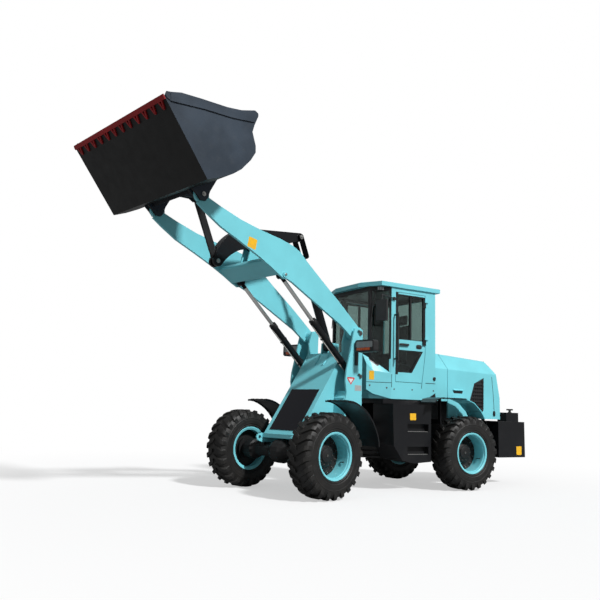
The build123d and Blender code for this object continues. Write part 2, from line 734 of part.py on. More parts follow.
# Openings in the front wall for the steering cylinders.
wall_slots = [block(rail_front - 40, rail_front + 10, *sorted((side * 120, side * (rail_y - 25))),
                    steer_level - 80, steer_level + 80) for side in (1, -1)]
trunnions = [block(rear_axle_x + x - 20, rear_axle_x + x + 20, -rail_y, rail_y, 700,
                   760) for x in (-230, 230)]
hood_lugs = both_sides(join(strap((hood_hinge[0], rail_top - 20), hood_hinge, 70, rail_y - 22, rail_y),
                            cross_pin(hood_hinge, 15, rail_y - 22, rail_y + 34)))
rear_frame = join(both_sides(rail), hood_lugs, cut(rail_wall, *wall_slots), rear_wall, rail_floor,
                  rail_cross,
                  deck, *posts, *eye_plates, *pivot_pins, *steer_brackets, *trunnions)
keep("rear_frame", rear_frame)
keep("rear_axle", make_axle(60, 715 - axle_height, rail_y - 12).moved(Location((rear_axle_x, 0,
                                                                                axle_height))))

step_outline = [(-905, deck_bottom - run), (-905, 445), (-560, 425), (-320, 470), (-150, 700),
                (-130, 1180),
                (-130, deck_bottom - run)]
step_body = polygon_plate(step_outline, rail_y, 860)
step_hollows = [block(-850, -420, 780, 861, z, z + 120) for z in (560, 910)]
# A recess in the inner side gives the steering cylinders room.
steer_recess = block(rail_front - 30, -100, rail_y - 1, rail_y + 95, steer_level - 70, steer_level + 70)
keep("step_boxes", both_sides(cut(step_body, *step_hollows, steer_recess)))

rear_fender_path = [(-790, 1372), (-850, 1428), (-960, 1452), (-1450, 1452), (-1640, 1390),
                    (-1800, 1260),
                    (-1880, 1140)]
fender_inner = cab_side + 6
fender_foot = block(-1190, -1172, rail_y, fender_inner + 60, rail_top - 30, rail_top + 40)
fender_post = block(-1190, -1172, fender_inner, fender_inner + 60, rail_top - 30, 1452)
keep("rear_fenders", both_sides(join(make_fender(rear_fender_path, fender_inner, 1080, 14), fender_foot,
                                     fender_post)))

# Counterweight with the towing clevis on its back.
with BuildPart() as counterweight:
    with BuildSketch(Plane.XY.offset(weight_bottom)):
        with BuildLine():
            Polyline((rail_back, -weight_side), (weight_back + 90, -weight_side),
                     (weight_back, 120 - weight_side),
                     (weight_back, weight_side - 120), (weight_back + 90, weight_side),
                     (rail_back, weight_side),
                     close=True)
        make_face()
    extrude(amount=weight_top - weight_bottom)
hitch_back = weight_back - 330
hitch_gap = (880.0, 990.0)
hitch_body = block(hitch_back, weight_back, -110, 110, 800, 1262)
hitch_slot = block(hitch_back - 1, weight_back - 40, -111, 111, *hitch_gap)
hitch_x = hitch_back + 110
hitch_bore = post((hitch_x, 0), 24 + run, 799, 1263)
keep("counterweight", cut(join(counterweight.part, hitch_body), hitch_slot, hitch_bore))
keep("tow_pin", join(post((hitch_x, 0), 24, 800, 1310),
                     post((hitch_x, 0), 36, 1262, 1274),
                     block(hitch_x - 14, hitch_x + 14, -70, 70, 1305, 1333)))
keep("power_unit", block(-2380, -1300, -330, 330, rail_top, 1900))

# ---------------------------------------------------------------- cab
cab_plan = [(cab_back, -cab_side), (cab_corner_x, -cab_side), (cab_front, -cab_corner_y),
            (cab_front, cab_corner_y), (cab_corner_x, cab_side), (cab_back, cab_side)]
with BuildPart() as cab:
    with BuildSketch(Plane.XY.offset(cab_bottom)):
        with BuildLine():
            Polyline(*cab_plan, close=True)
        make_face()
    extrude(amount=cab_top - cab_bottom)
    with BuildSketch(Plane.XY.offset(cab_bottom + 40)):
        with BuildLine():
            Polyline(*cab_plan, close=True)
        make_face()
        offset(amount=-cab_wall, kind=Kind.INTERSECTION, mode=Mode.REPLACE)
    extrude(amount=cab_top - cab_bottom - 80, mode=Mode.SUBTRACT)
door_outline = [(door_back, door_top), (door_back, 2150), (door_back + 70, door_bottom),
                (door_front, door_bottom), (door_front, door_top)]
door_hole = [(door_back - gap, door_top + gap), (door_back - gap, 2150),
             (door_back + 70 - gap, door_bottom - gap),
             (door_front + gap, door_bottom - gap), (door_front + gap, door_top + gap)]
corner_angle = degrees(atan2(cab_side - cab_corner_y, cab_corner_x - cab_front))
corner_length = hypot(cab_front - cab_corner_x, cab_side - cab_corner_y)
corner_middle = ((cab_front + cab_corner_x) / 2, (cab_side + cab_corner_y) / 2)
corner_plane = Plane(origin=(corner_middle[0], corner_middle[1], 0), x_dir=(cab_corner_x - cab_front,
                     cab_side - cab_corner_y, 0), z_dir=(cab_side - cab_corner_y,
                                                         cab_front - cab_corner_x, 0))


corner_half = corner_length / 2 - 36
corner_window = [(-corner_half, 2080), (0, 1895), (corner_half, 1815), (corner_half, cab_top - 70),
                 (-corner_half, cab_top - 70)]


with BuildPart() as corner_cut:
    with BuildSketch(corner_plane.offset(-cab_wall - 30)):
        with BuildLine():
            Polyline(*corner_window, close=True)
        make_face()
    extrude(amount=cab_wall + 80)
front_cut = block(cab_front - cab_wall - 20, cab_front + 20, -cab_corner_y + 45, cab_corner_y - 45,
                  2150, cab_top - 70)
rear_cut = block(cab_back - 20, cab_back + cab_wall + 20, -cab_side + 90, cab_side - 90, 2250,
                 cab_top - 110)
# A box under each corner window that widens towards its front: x, y inside and outside,
# z at those, z below.
corner_stations = [(190, 470, 586, 2105, 1950, 1545), (85, 525, 622, 2045, 1842, 1480),
                   (cab_corner_x, 700, cab_side, 1815, 1810, cab_bottom)]
with BuildPart() as corner_box:
    for x, y_in, y_out, z_in, z_out, z_low in corner_stations:
        with BuildSketch(Plane(origin=(x, 0, 0), x_dir=(0, 1, 0), z_dir=(1, 0, 0))):
            with BuildLine():
                Polyline((y_in, z_low), (y_out, z_low), (y_out, z_out), (y_in, z_in), close=True)
            make_face()
    loft(ruled=True)
door_hinge = (door_back + 6, cab_side + 16)
door_hinge_levels = (2300.0, 2920.0)
cab_knuckles = []
for z in door_hinge_levels:
    cab_knuckles += [block(door_back - 60, door_back - 20, cab_side, cab_side + 22, z + 90 + run,
                           z + 124),
                     block(door_back - 60, door_hinge[0], cab_side + gap, cab_side + 22, z + 90 + run,
                           z + 124),
                     post(door_hinge, 12, z + 90 + run, z + 124), post(door_hinge, 6, z - 6, z + 100)]
cab_shell = cut(cab.part, both_sides(polygon_plate(door_hole, cab_side - cab_wall - 20, cab_side + 20)),
                both_sides(corner_cut.part), front_cut, rear_cut)
keep("cab_frame", join(cab_shell, both_sides(join(corner_box.part, *cab_knuckles))))

front_glass = block(cab_front - 30, cab_front - 30 + glass_thickness, -cab_corner_y + 45,
                    cab_corner_y - 45, 2150,
                    cab_top - 70)
rear_glass = block(cab_back + 20, cab_back + 20 + glass_thickness, -cab_side + 90, cab_side - 90, 2250,
                   cab_top - 110)
with BuildPart() as corner_glass:
    with BuildSketch(corner_plane.offset(-30)):
        with BuildLine():
            Polyline(*corner_window, close=True)
        make_face()
    extrude(amount=glass_thickness)
keep("cab_glass", join(front_glass, rear_glass, both_sides(corner_glass.part)))

roof_over = 28.0
with BuildPart() as roof:
    with BuildSketch(Plane.XY.offset(cab_top)):
        with BuildLine():
            Polyline((cab_back - 85, -cab_side - roof_over), (25, -cab_side - roof_over), (190, -330),
                     (190, 330),
                     (25, cab_side + roof_over), (cab_back - 85, cab_side + roof_over), close=True)
        make_face()
    extrude(amount=roof_thickness)
    with BuildSketch(Plane.XY.offset(cab_top + roof_thickness)):
        with BuildLine():
            Polyline((cab_back - 60, -600), (-60, -600), (110, -270), (110, 270), (-60, 600),
                     (cab_back - 60, 600),
                     close=True)
        make_face()
    extrude(amount=34, taper=35)
keep("cab_roof", roof.part)

# Doors: a frame with two panes above and a slanted pane below.
upper_pane = [(-860, 3080), (-860, 2370), (-330, 2370), (-330, 3080)]
lower_pane = [(-850, 2175), (-790, 2140), (-590, 1845), (-330, 1845), (-330, 2190), (-850, 2190)]
for side, label in ((1, "left"), (-1, "right")):
    y_low, y_high = sorted((side * (cab_side - door_thickness), side * cab_side))
    panes_y = sorted((side * (cab_side - 22), side * (cab_side - 22 + glass_thickness)))
    door_body = polygon_plate(door_outline, y_low, y_high)
    windows = [polygon_plate(pane, y_low - 1, y_high + 1) for pane in (upper_pane, lower_pane)]
    middle_bar = block(-610, -575, y_low, y_high, 2370, 3080)
    # Two hinge knuckles stand out at the back edge.
    leaves = [block(door_back + 6, door_back + 60, *sorted((side * cab_side, side * (cab_side + 22))),
                    z, z + 90)
              for z in door_hinge_levels]
    knuckles = [post((door_hinge[0], side * door_hinge[1]), 12, z, z + 90) for z in door_hinge_levels]
    knuckle_bores = [post((door_hinge[0], side * door_hinge[1]), 6 + run, z - 1,
                          z + 91) for z in door_hinge_levels]
    handle = block(-540, -380, *sorted((side * cab_side, side * (cab_side + 22))), 2265, 2300)
    keep("door_" + label, cut(join(cut(door_body, *windows), middle_bar, *leaves, *knuckles, handle),
                              *knuckle_bores))
    panes = [polygon_plate(pane, *panes_y) for pane in (upper_pane, lower_pane)]
    keep("door_glass_" + label, cut(join(*panes), middle_bar))

# Inside the cab.
floor_level = cab_bottom + 40
with BuildPart() as seat:
    with Locations((-760, 0, floor_level + 150)):
        Box(360, 380, 300)
    with Locations((-740, 0, floor_level + 360)):
        Box(500, 500, 120)
    with BuildSketch(Plane.XZ.offset(-240)):
        with BuildLine():
            Polyline((-900, floor_level + 400), (-990, floor_level + 1050), (-890, floor_level + 1050),
                     (-790, floor_level + 400), close=True)
        make_face()
    extrude(amount=480)
    with Locations((-945, 0, floor_level + 1130)):
        Box(90, 260, 180)
keep("seat", seat.part)
column = polygon_plate([(-150, floor_level), (-70, floor_level), (-262, floor_level + 785),
                        (-318, floor_level + 775)], -45, 45)
with BuildPart() as hand_wheel:
    with BuildSketch(Plane(origin=(-290, 0, floor_level + 770), x_dir=(0, 1, 0),
                           z_dir=(-0.32, 0, 0.95))):
        Circle(205)
        Circle(175, mode=Mode.SUBTRACT)
        Rectangle(360, 44)
        Circle(48)
    extrude(amount=26)
keep("steering_column", join(column, hand_wheel.part))
keep("dashboard", polygon_plate([(20, floor_level), (20, 2130), (-60, 2150), (-170, 2060), (-60, 1980),
                                 (-30, floor_level)], -420, 420))

# Rear cowl between the cab and the hood.
def hood_section(x, grow=0.0, low=hood_bottom):
    """Half of the hood's section at x, as (y, z) points, grown by a wall where asked."""
    fall = (hood_front - x) / (hood_front - hood_back) * hood_drop
    return [(0, low), (hood_side + grow, low),
            (hood_side + grow, hood_shoulder - fall * 0.5 + grow * 0.5),
            (hood_shoulder_y + grow * 0.6, hood_crown - fall + grow),
            (0, hood_crown + 45 - fall + grow)]


def hood_body(x_start, x_end, grow, low):
    """The hood's outer body between two stations, grown or shrunk by a wall."""
    with BuildPart() as body:
        for x in (x_start, x_end):
            with BuildSketch(Plane(origin=(x, 0, 0), x_dir=(0, 1, 0), z_dir=(1, 0, 0))) as section:
                with BuildLine():
                    half = hood_section(x, grow, low)
                    Polyline(*half[1:], *[(-y, z) for y, z in half[-2:0:-1]], close=True)
                make_face()
                fillet(section.vertices().filter_by(lambda corner: corner.Y > low + 10),
                       radius=hood_edge - grow)
        loft(ruled=True)
    return body.part


cowl_back = hood_front + gap
keep("rear_cowl", cut(hood_body(cab_back - run, cowl_back, 0, cab_bottom),
                      hood_body(cab_back + 1, cowl_back - 1, -hood_wall, cab_bottom - 1)))
back_cut = polygon_plate([(hood_back - 100, hood_bottom - 1), (hood_back - 100, 2400),
                          (hood_back + 220, 2400),
                          (hood_back + 110, 2050), (hood_back, 1500),
                          (hood_back, hood_bottom - 1)], -800, 800)
hood_inside = cut(hood_body(hood_front + 1, hood_back + hood_wall, -hood_wall, hood_bottom - 1),
                  back_cut.moved(Location((hood_wall, 0, 0))))
# The hood turns on two ears at its lower back edge, which is notched where it swings past the frame's lugs.
hood_ear_y = rail_y + 8
hood_ears = join(strap(hood_hinge, (hood_hinge[0], hood_hinge[1] + 95), 60, hood_ear_y,
                       hood_ear_y + 20),
                 block(hood_back + 5, hood_hinge[0], hood_ear_y, hood_ear_y + 20, hood_hinge[1] + 40,
                       hood_hinge[1] + 120))
hood_ear_bore = cross_pin(hood_hinge, 15 + run, hood_ear_y - 1, hood_ear_y + 21)
lug_notch = block(hood_back - 5, hood_back + 60, rail_y - 34, hood_ear_y - 1, hood_bottom - 5,
                  hood_hinge[1] + 75)
hood_shell = cut(join(cut(hood_body(hood_front, hood_back, 0, hood_bottom), back_cut, hood_inside,
                          both_sides(lug_notch)),
                      both_sides(hood_ears)), both_sides(hood_ear_bore))
grille_outline = [(-2302, 1841), (-2071, 1735), (-1947, 1399), (-2110, 1208), (-2229, 1211),
                  (-2290, 1290)]
grille_cut = both_sides(polygon_plate(grille_outline, hood_side - 60, hood_side + 1))
keep("hood", cut(hood_shell, grille_cut))

bars = [block(-2310, -1940, hood_side - 20, hood_side - 6, z, z + 22) for z in range(1240, 1830, 60)]
grille_frame = cut(polygon_plate(grille_outline, hood_side - 24, hood_side - 2),
                   polygon_plate([(-2280, 1800), (-2086, 1713), (-1972, 1402), (-2118, 1232),
                                  (-2216, 1235),
                                  (-2268, 1305)], hood_side - 25, hood_side))
with BuildPart() as grille:
    with BuildSketch(Plane.XZ.offset(-hood_side + 6)):
        with BuildLine():
            Polyline(*grille_outline, close=True)
        make_face()
    extrude(amount=14)
slats = join(*bars)
with BuildPart() as grille_bars:
    add(slats)
    add(grille.part, mode=Mode.INTERSECT)
keep("hood_grilles", both_sides(join(grille_frame, grille_bars.part)))

# Mirrors, work lamps and grab bars.
mirror_foot = (-240.0, cab_side + 12)
mirror_top = (140.0, 900.0)
mirror_level = 3010.0
with BuildPart() as mirror_arm:
    with BuildSketch(Plane(origin=(*mirror_foot, mirror_level),
                           z_dir=(mirror_top[0] - mirror_foot[0], mirror_top[1] - mirror_foot[1], 0))):
        Circle(11)
    extrude(amount=hypot(mirror_top[0] - mirror_foot[0], mirror_top[1] - mirror_foot[1]))
mirror_base = block(mirror_foot[0] - 22, mirror_foot[0] + 22, cab_side, cab_side + 24,
                    mirror_level - 24, mirror_level + 24)
with BuildPart() as mirror_head:
    with BuildSketch(Plane.XY.offset(2600)):
        with Locations(Location((*mirror_top, 0), (0, 0, 30))):
            RectangleRounded(45, 195, 16)
    extrude(amount=330)
mirror_neck = post(mirror_top, 11, 2925, mirror_level + 11)
keep("mirrors", both_sides(join(mirror_base, mirror_arm.part, mirror_neck, mirror_head.part)))
with BuildPart() as work_lamp:
    with BuildSketch(corner_plane):
        with Locations((-10, 3163)):
            Rectangle(110, 66)
    extrude(amount=55)
keep("work_lamps", both_sides(work_lamp.part))
grab_bar = (-262.0, 810.0)
grab_feet = [block(grab_bar[0] - 12, grab_bar[0] + 12, cab_side, grab_bar[1], z, z + 24) for z in (2030,
                                                                                                   2736)]
keep("grab_bars", both_sides(join(post(grab_bar, 14, 2010, 2780), *grab_feet)))

# ---------------------------------------------------------------- placing and writing
placed = {}
for name, (shape, on_front) in pieces.items():
    placed[name] = shape.rotate(Axis.Z, steer_angle) if on_front else shape
whole = Compound(children=[Compound(shape.solids()) for shape in placed.values()]).bounding_box()
origin_shift = (-(whole.min.X + whole.max.X) / 2, -(whole.min.Y + whole.max.Y) / 2, -whole.min.Z)

os.makedirs("parts", exist_ok=True)
for name, shape in placed.items():
    final = shape.moved(Location(origin_shift))
    final.label = name
    export_step(final, f"parts/{name}.step")
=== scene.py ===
import json
from functools import partialmethod
from math import atan2, cos, pi, radians, sin

import bmesh
import bpy
from mathutils import Matrix, Vector


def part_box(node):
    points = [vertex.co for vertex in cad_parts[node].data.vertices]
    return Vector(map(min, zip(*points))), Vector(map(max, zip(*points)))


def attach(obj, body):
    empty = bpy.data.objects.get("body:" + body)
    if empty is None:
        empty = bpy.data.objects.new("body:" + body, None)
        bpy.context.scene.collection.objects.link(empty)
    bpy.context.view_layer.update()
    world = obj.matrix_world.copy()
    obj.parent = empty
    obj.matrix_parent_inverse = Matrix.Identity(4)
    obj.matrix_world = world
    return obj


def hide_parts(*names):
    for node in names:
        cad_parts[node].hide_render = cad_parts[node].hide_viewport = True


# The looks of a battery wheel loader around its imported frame, in metres. Pieces are described
# in the rear half's frame, whose origin is on the ground under the centre pivot, or in the
# front half's, which is the same one turned by the steering angle.

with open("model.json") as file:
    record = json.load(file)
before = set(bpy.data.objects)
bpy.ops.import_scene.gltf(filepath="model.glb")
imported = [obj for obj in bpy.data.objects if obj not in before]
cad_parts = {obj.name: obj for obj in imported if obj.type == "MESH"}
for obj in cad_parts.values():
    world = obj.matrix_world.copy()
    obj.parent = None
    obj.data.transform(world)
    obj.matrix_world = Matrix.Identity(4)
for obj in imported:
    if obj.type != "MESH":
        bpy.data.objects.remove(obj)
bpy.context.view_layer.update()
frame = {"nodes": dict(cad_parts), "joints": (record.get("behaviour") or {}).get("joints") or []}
scene = bpy.context.scene

SIDES = ((1, "left"), (-1, "right"))
UP = (0, 0, 1)
HALF_WHEELBASE = 1.570
TYRE_RADIUS = 0.589
# Distances from the machine's middle plane.
WHEEL_Y = 0.907  # middle of each tyre
TOWER_Y = 0.610  # outer face of the towers
ARM_Y = 0.548  # outer face of the lift arms
CYLINDER_Y = 0.446  # axis of each lift cylinder
CAB_Y = 0.720  # outer face of the cab and its doors
HOOD_Y = 0.660
STEP_Y = 0.860
WEIGHT_Y = 0.610
HOOD_BACK = -2.690  # in X
# Pins, in X and Z.
ARM_PIVOT = (0.565, 2.392)
LIFT_BASE = (0.552, 1.728)
LIFT_EYE = (2.115, 3.076)
BUCKET_HINGE = (3.596, 3.882)
ROCKER_TOP = (1.385, 3.850)
ROCKER_PIN = (2.930, 3.200)

rim_low, rim_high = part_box("rim_rear_left")
far_low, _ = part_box("rim_rear_right")
origin = Vector(((rim_low.x + rim_high.x) / 2 + HALF_WHEELBASE, (rim_high.y + far_low.y) / 2,
                 (rim_low.z + rim_high.z) / 2 - TYRE_RADIUS))
axle_direction = next(joint["axis"] for joint in frame["joints"]
                      if joint["name"] == "wheel_front_left")
steer = atan2(-axle_direction[0], axle_direction[1])
REAR = Matrix.Translation(origin)
FRONT = REAR @ Matrix.Rotation(steer, 4, "Z")
REAR_BODIES = ("rear_frame", "hood", "door_left", "door_right")


# ---- shader arithmetic
class Field:
    """A value inside a node tree, so that a mask reads as arithmetic."""

    def __init__(self, tree, socket):
        self.tree = tree
        self.socket = socket

    def math(self, operation, *others):
        node = self.tree.nodes.new("ShaderNodeMath")
        node.operation = operation
        for socket, value in zip(node.inputs, (self, *others)):
            feed(self.tree, value, socket)
        return Field(self.tree, node.outputs[0])

    __add__ = partialmethod(math, "ADD")
    __sub__ = partialmethod(math, "SUBTRACT")
    __mul__ = partialmethod(math, "MULTIPLY")
    __gt__ = partialmethod(math, "GREATER_THAN")
    __lt__ = partialmethod(math, "LESS_THAN")
    __or__ = partialmethod(math, "MAXIMUM")
    size = partialmethod(math, "ABSOLUTE")
    sine = partialmethod(math, "SINE")

    def span(self, low, high):
        """0 below low, 1 above high, and smooth between them."""
        limits = {"From Min": low, "From Max": high}
        node = add_node(self.tree, "MapRange", Value=self, **limits)
        node.interpolation_type = "SMOOTHSTEP"
        return Field(self.tree, node.outputs["Result"])


def feed(tree, value, socket):
    """Links an input to a field or to a node's output, or sets it to a plain value."""
    if isinstance(value, Field):
        value = value.socket
    if isinstance(value, bpy.types.NodeSocket):
        tree.links.new(value, socket)
    else:
        socket.default_value = value


def add_node(tree, kind, **inputs):
    """A shader node with some of its inputs fed."""
    node = tree.nodes.new("ShaderNode" + kind)
    for name, value in inputs.items():
        feed(tree, value, node.inputs[name])
    return node


def colour_mix(tree, share, first, second):
    """first where share is 0, second where it is 1. Each is a colour or a field."""
    node = tree.nodes.new("ShaderNodeMix")
    node.data_type = "RGBA"
    feed(tree, share, node.inputs["Factor"])
    for value, socket in ((first, node.inputs[6]), (second, node.inputs[7])):
        feed(tree, value if isinstance(value, Field) else (*value, 1), socket)
    return Field(tree, node.outputs[2])


class Coat:
    """A node material under construction: its tree, its shader and the place of each point."""

    def __init__(self, name, roughness, metallic=0.0, front=False):
        self.material = bpy.data.materials.new(name)
        self.material.use_nodes = True
        self.tree = self.material.node_tree
        self.shader = self.tree.nodes["Principled BSDF"]
        self.put("Roughness", roughness)
        self.put("Metallic", metallic)
        mapping = add_node(self.tree, "Mapping", Location=origin,
                           Rotation=(0, 0, steer if front else 0),
                           Vector=add_node(self.tree, "TexCoord").outputs["Object"])
        mapping.vector_type = "TEXTURE"
        self.place = mapping.outputs["Vector"]
        split = add_node(self.tree, "SeparateXYZ", Vector=self.place)
        self.x, self.y, self.z = (Field(self.tree, output) for output in split.outputs)

    def noise(self, scale, detail, stretch=(1, 1, 1)):
        place = self.place
        if stretch != (1, 1, 1):
            place = add_node(self.tree, "Mapping", Scale=stretch, Vector=place).outputs["Vector"]
        node = add_node(self.tree, "TexNoise", Scale=scale, Detail=detail, Vector=place)
        return Field(self.tree, node.outputs[0])

    def put(self, name, value):
        """Sets an input of the shader to a field or to a plain value."""
        feed(self.tree, value, self.shader.inputs[name])

    def vary(self, share, colour, gain, lift=0.0):
        """A colour that share mixes with a lighter or darker one of itself."""
        other = tuple(channel * gain + lift for channel in colour)
        return colour_mix(self.tree, share, colour, other)

    def relief(self, height, distance, edge=0.0):
        """Bump from a height field, over corners softened by edge metres."""
        bump = add_node(self.tree, "Bump", Distance=distance, Height=height)
        if edge:
            bevel = add_node(self.tree, "Bevel", Radius=edge)
            bevel.samples = 4
            feed(self.tree, bevel.outputs[0], bump.inputs["Normal"])
        self.put("Normal", bump.outputs[0])

    def upward(self):
        """How far the surface faces up, from -1 to 1."""
        normal = add_node(self.tree, "NewGeometry").outputs["Normal"]
        split = add_node(self.tree, "SeparateXYZ", Vector=normal)
        return Field(self.tree, split.outputs["Z"])


TEAL = (0.185, 0.615, 0.690)
# A darker teal, painted shade for the rear fenders' teal halves.
TEAL_SHADED = (0.135, 0.530, 0.610)
BLACK = (0.0085, 0.009, 0.0105)
DUST = (0.32, 0.30, 0.27)
NAVY = (0.024, 0.035, 0.050)
# Painted shade for the bucket's faces that turn down.
UNDERSIDE_SHADE = (0.004, 0.0038, 0.0035)
GREY_TRIM = (0.026, 0.028, 0.030)
SOFT_EDGE = 0.004  # radius that painted corners look rounded to
BLACK_GLOSS = {"dust": 0.02, "roughness": 0.30, "shine": 0.3}


def dusted(coat, field, amount):
    """Road dust that gathers low down and on what faces up."""
    low = (coat.z * -1.0).span(-1.6, 0.1)
    settled = low + coat.upward().span(0.4, 1.0) * 0.6
    share = settled * coat.noise(4.5, 5.0).span(0.38, 0.72) * amount
    return colour_mix(coat.tree, share, field, DUST)


def paint(name, colour, front=False, regions=(), dust=0.06, roughness=0.34, shine=0.5):
    """Sprayed paint with a faint orange peel. regions are (mask from a coat, colour)."""
    coat = Coat(name, roughness, front=front)
    coat.put("Specular IOR Level", shine)
    clouds = coat.noise(2.2, 4.0).span(0.35, 0.70) * 0.55
    field = coat.vary(clouds, colour, 0.86)
    for mask, other in regions:
        field = colour_mix(coat.tree, mask(coat), field, other)
    coat.put("Base Color", dusted(coat, field, dust))
    coat.put("Roughness", coat.noise(14.0, 4.0) * 0.16 + (roughness - 0.06))
    coat.relief(coat.noise(180.0, 2.0), 0.0004, SOFT_EDGE)
    return coat.material


def worn_steel(name, colour, wear_colour, scratch, front=False, roughness=0.45, below=None):
    """Painted plate scraped along the way that soil runs; below is a darker colour painted on the
    faces turned down as shade.
    """
    coat = Coat(name, roughness, front=front)
    coat.put("Specular IOR Level", 0.3)
    streaks = coat.noise(9.0, 6.0, (1.0, 5.0, 1.0)).span(0.52, 0.78) * scratch
    clouds = coat.noise(1.8, 5.0).span(0.40, 0.68)
    field = coat.vary(clouds * 0.6, colour, 1.7, 0.004)
    field = dusted(coat, colour_mix(coat.tree, streaks, field, wear_colour), 0.02)
    # Painted shade: the faces turned down take the darker below colour.
    if below:
        field = colour_mix(coat.tree, (coat.upward() * -1.0).span(0.15, 0.45), field, below)
    coat.put("Base Color", field)
    coat.put("Roughness", coat.noise(7.0, 5.0) * 0.30 + (roughness - 0.12))
    coat.relief(coat.noise(60.0, 4.0), 0.001, SOFT_EDGE)
    return coat.material


def plastic(name, colour, roughness=0.5, grain=420.0):
    """Moulded plastic with a fine pebbled skin."""
    coat = Coat(name, roughness)
    clouds = coat.noise(3.0, 3.0).span(0.35, 0.7)
    coat.put("Base Color", coat.vary(clouds, colour, 1.5, 0.004))
    coat.relief(coat.noise(grain, 2.0), 0.0005, 0.003)
    return coat.material


def metal(name, colour, roughness, brushed=(1, 1, 1), front=False, dark=None):
    """Bare metal with fine machining marks; dark is a mask of what is painted black."""
    coat = Coat(name, roughness, metallic=1.0, front=front)
    marks = coat.noise(120.0, 3.0, brushed)
    field = coat.vary(marks.span(0.3, 0.7), colour, 0.82)
    if dark:
        field = colour_mix(coat.tree, dark(coat), field, (0.012, 0.012, 0.014))
    coat.put("Base Color", field)
    coat.put("Roughness", marks * 0.14 + roughness)
    coat.relief(marks, 0.0002)
    return coat.material


def rubber():
    """Tyre rubber: black, with a brown bloom and fine moulding texture."""
    coat = Coat("tyre_rubber", 0.62)
    bloom = coat.noise(5.0, 5.0).span(0.42, 0.74)
    coat.put("Specular IOR Level", 0.4)
    field = colour_mix(coat.tree, bloom * 0.5, (0.007, 0.0068, 0.0066), (0.018, 0.016, 0.014))
    coat.put("Base Color", dusted(coat, field, 0.02))
    coat.put("Roughness", coat.noise(11.0, 4.0) * 0.34 + 0.36)
    coat.relief(coat.noise(150.0, 4.0), 0.0012, 0.005)
    return coat.material


def glass(name, tint):
    """Tinted glazing, a little uneven in its colour."""
    coat = Coat(name, 0.02)
    coat.put("Transmission Weight", 1.0)
    coat.put("IOR", 1.45)
    clouds = coat.noise(3.0, 4.0).span(0.3, 0.75) * 0.25
    coat.put("Base Color", coat.vary(clouds, tint, 0.8))
    return coat.material


def lens(name, colour, ribs):
    """A lamp's lens with moulded ribs; ribs is their turn in radians a metre."""
    coat = Coat(name, 0.12)
    coat.put("Coat Weight", 0.6)
    wave = (coat.y * ribs).sine()
    coat.put("Base Color", coat.vary(wave.span(-1.0, 1.0), colour, 0.55))
    coat.relief(wave, 0.0015)
    return coat.material


def film(name, colour, roughness=0.4):
    """A plain printed sticker, a little faded in patches."""
    coat = Coat(name, roughness)
    patches = coat.noise(26.0, 4.0).span(0.4, 0.7)
    coat.put("Base Color", coat.vary(patches, colour, 0.86, 0.02))
    coat.relief(coat.noise(300.0, 2.0), 0.0002)
    return coat.material


def fabric(name, colour):
    """Woven seat cover: two crossing sets of threads."""
    coat = Coat(name, 0.85)
    coat.put("Sheen Weight", 0.25)
    turns = pi / 0.0016  # threads are 1.6 mm wide
    weave = ((coat.x + coat.z) * turns).sine() * (coat.y * turns).sine()
    threads = weave.span(-1.0, 1.0) * 0.6
    coat.put("Base Color", coat.vary(threads, colour, 1.9, 0.006))
    coat.relief(weave, 0.0006)
    return coat.material


# ---- where each paint lies
# Limits are in metres in a half's frame; a slanted edge is written as z = slope * x + offset.
FLOOR = 1.450  # top of the cab's floor
CORNER_AT = (-0.200, CAB_Y)  # where the cab's angled front corner starts, in X and Y
CORNER_OUT = (0.535, 0.845)  # outward direction of that corner


def past_corner(coat):
    """Distance outside the cab's angled corners."""
    return ((coat.x - CORNER_AT[0]) * CORNER_OUT[0]
            + (coat.y.size() - CORNER_AT[1]) * CORNER_OUT[1])


def inside_cab(coat):
    """1 on the cab's inner faces."""
    corner = past_corner(coat) < -0.030
    along = (coat.x > -1.085) * (coat.x < 0.060)
    height = (coat.z > FLOOR - 0.005) * (coat.z < 3.168)
    return along * (coat.y.size() < CAB_Y - 0.030) * corner * height


def cab_black(coat):
    """1 on the cab's black front posts and header, and under its skirt's slanted ends."""
    sill = coat.x * -0.72 + 1.905
    posts = (coat.x > -0.195) * (coat.x < 0.101) * (coat.z > sill) * (past_corner(coat) < 0.012)
    skirt = (coat.z < (coat.x * -0.562 + 0.902)) * (coat.x < -0.90)
    return posts | skirt


def door_black(coat):
    """1 on the door's black window frame, front stile, handle and hinges."""
    window = (coat.z > 2.362) * (coat.z < 3.10) * (coat.x < -0.30)
    stile = (coat.x > -0.335) * (coat.z > 1.80)
    lower = (coat.z > 1.835) * (coat.z < 2.195) * (coat.x > (coat.z * -0.66 + 0.590))
    proud = coat.y.size() > (CAB_Y + 0.003)
    return window | stile | lower | proud


def hinge_black(coat):
    """1 on the front frame's black hinge plates behind the towers."""
    return coat.x < 0.500


def lift_eye_black(coat):
    """1 on the lift rods' eyes."""
    across, up = coat.x - LIFT_EYE[0], coat.z - LIFT_EYE[1]
    return (across * across + up * up) < 0.012


def tilt_fork_black(coat):
    """1 on the tilt rod's fork."""
    return coat.z > 3.44


def fender_teal(coat):
    """1 on the rear fenders' teal rear half, which takes a darker teal as painted shade."""
    return coat.x < -1.47


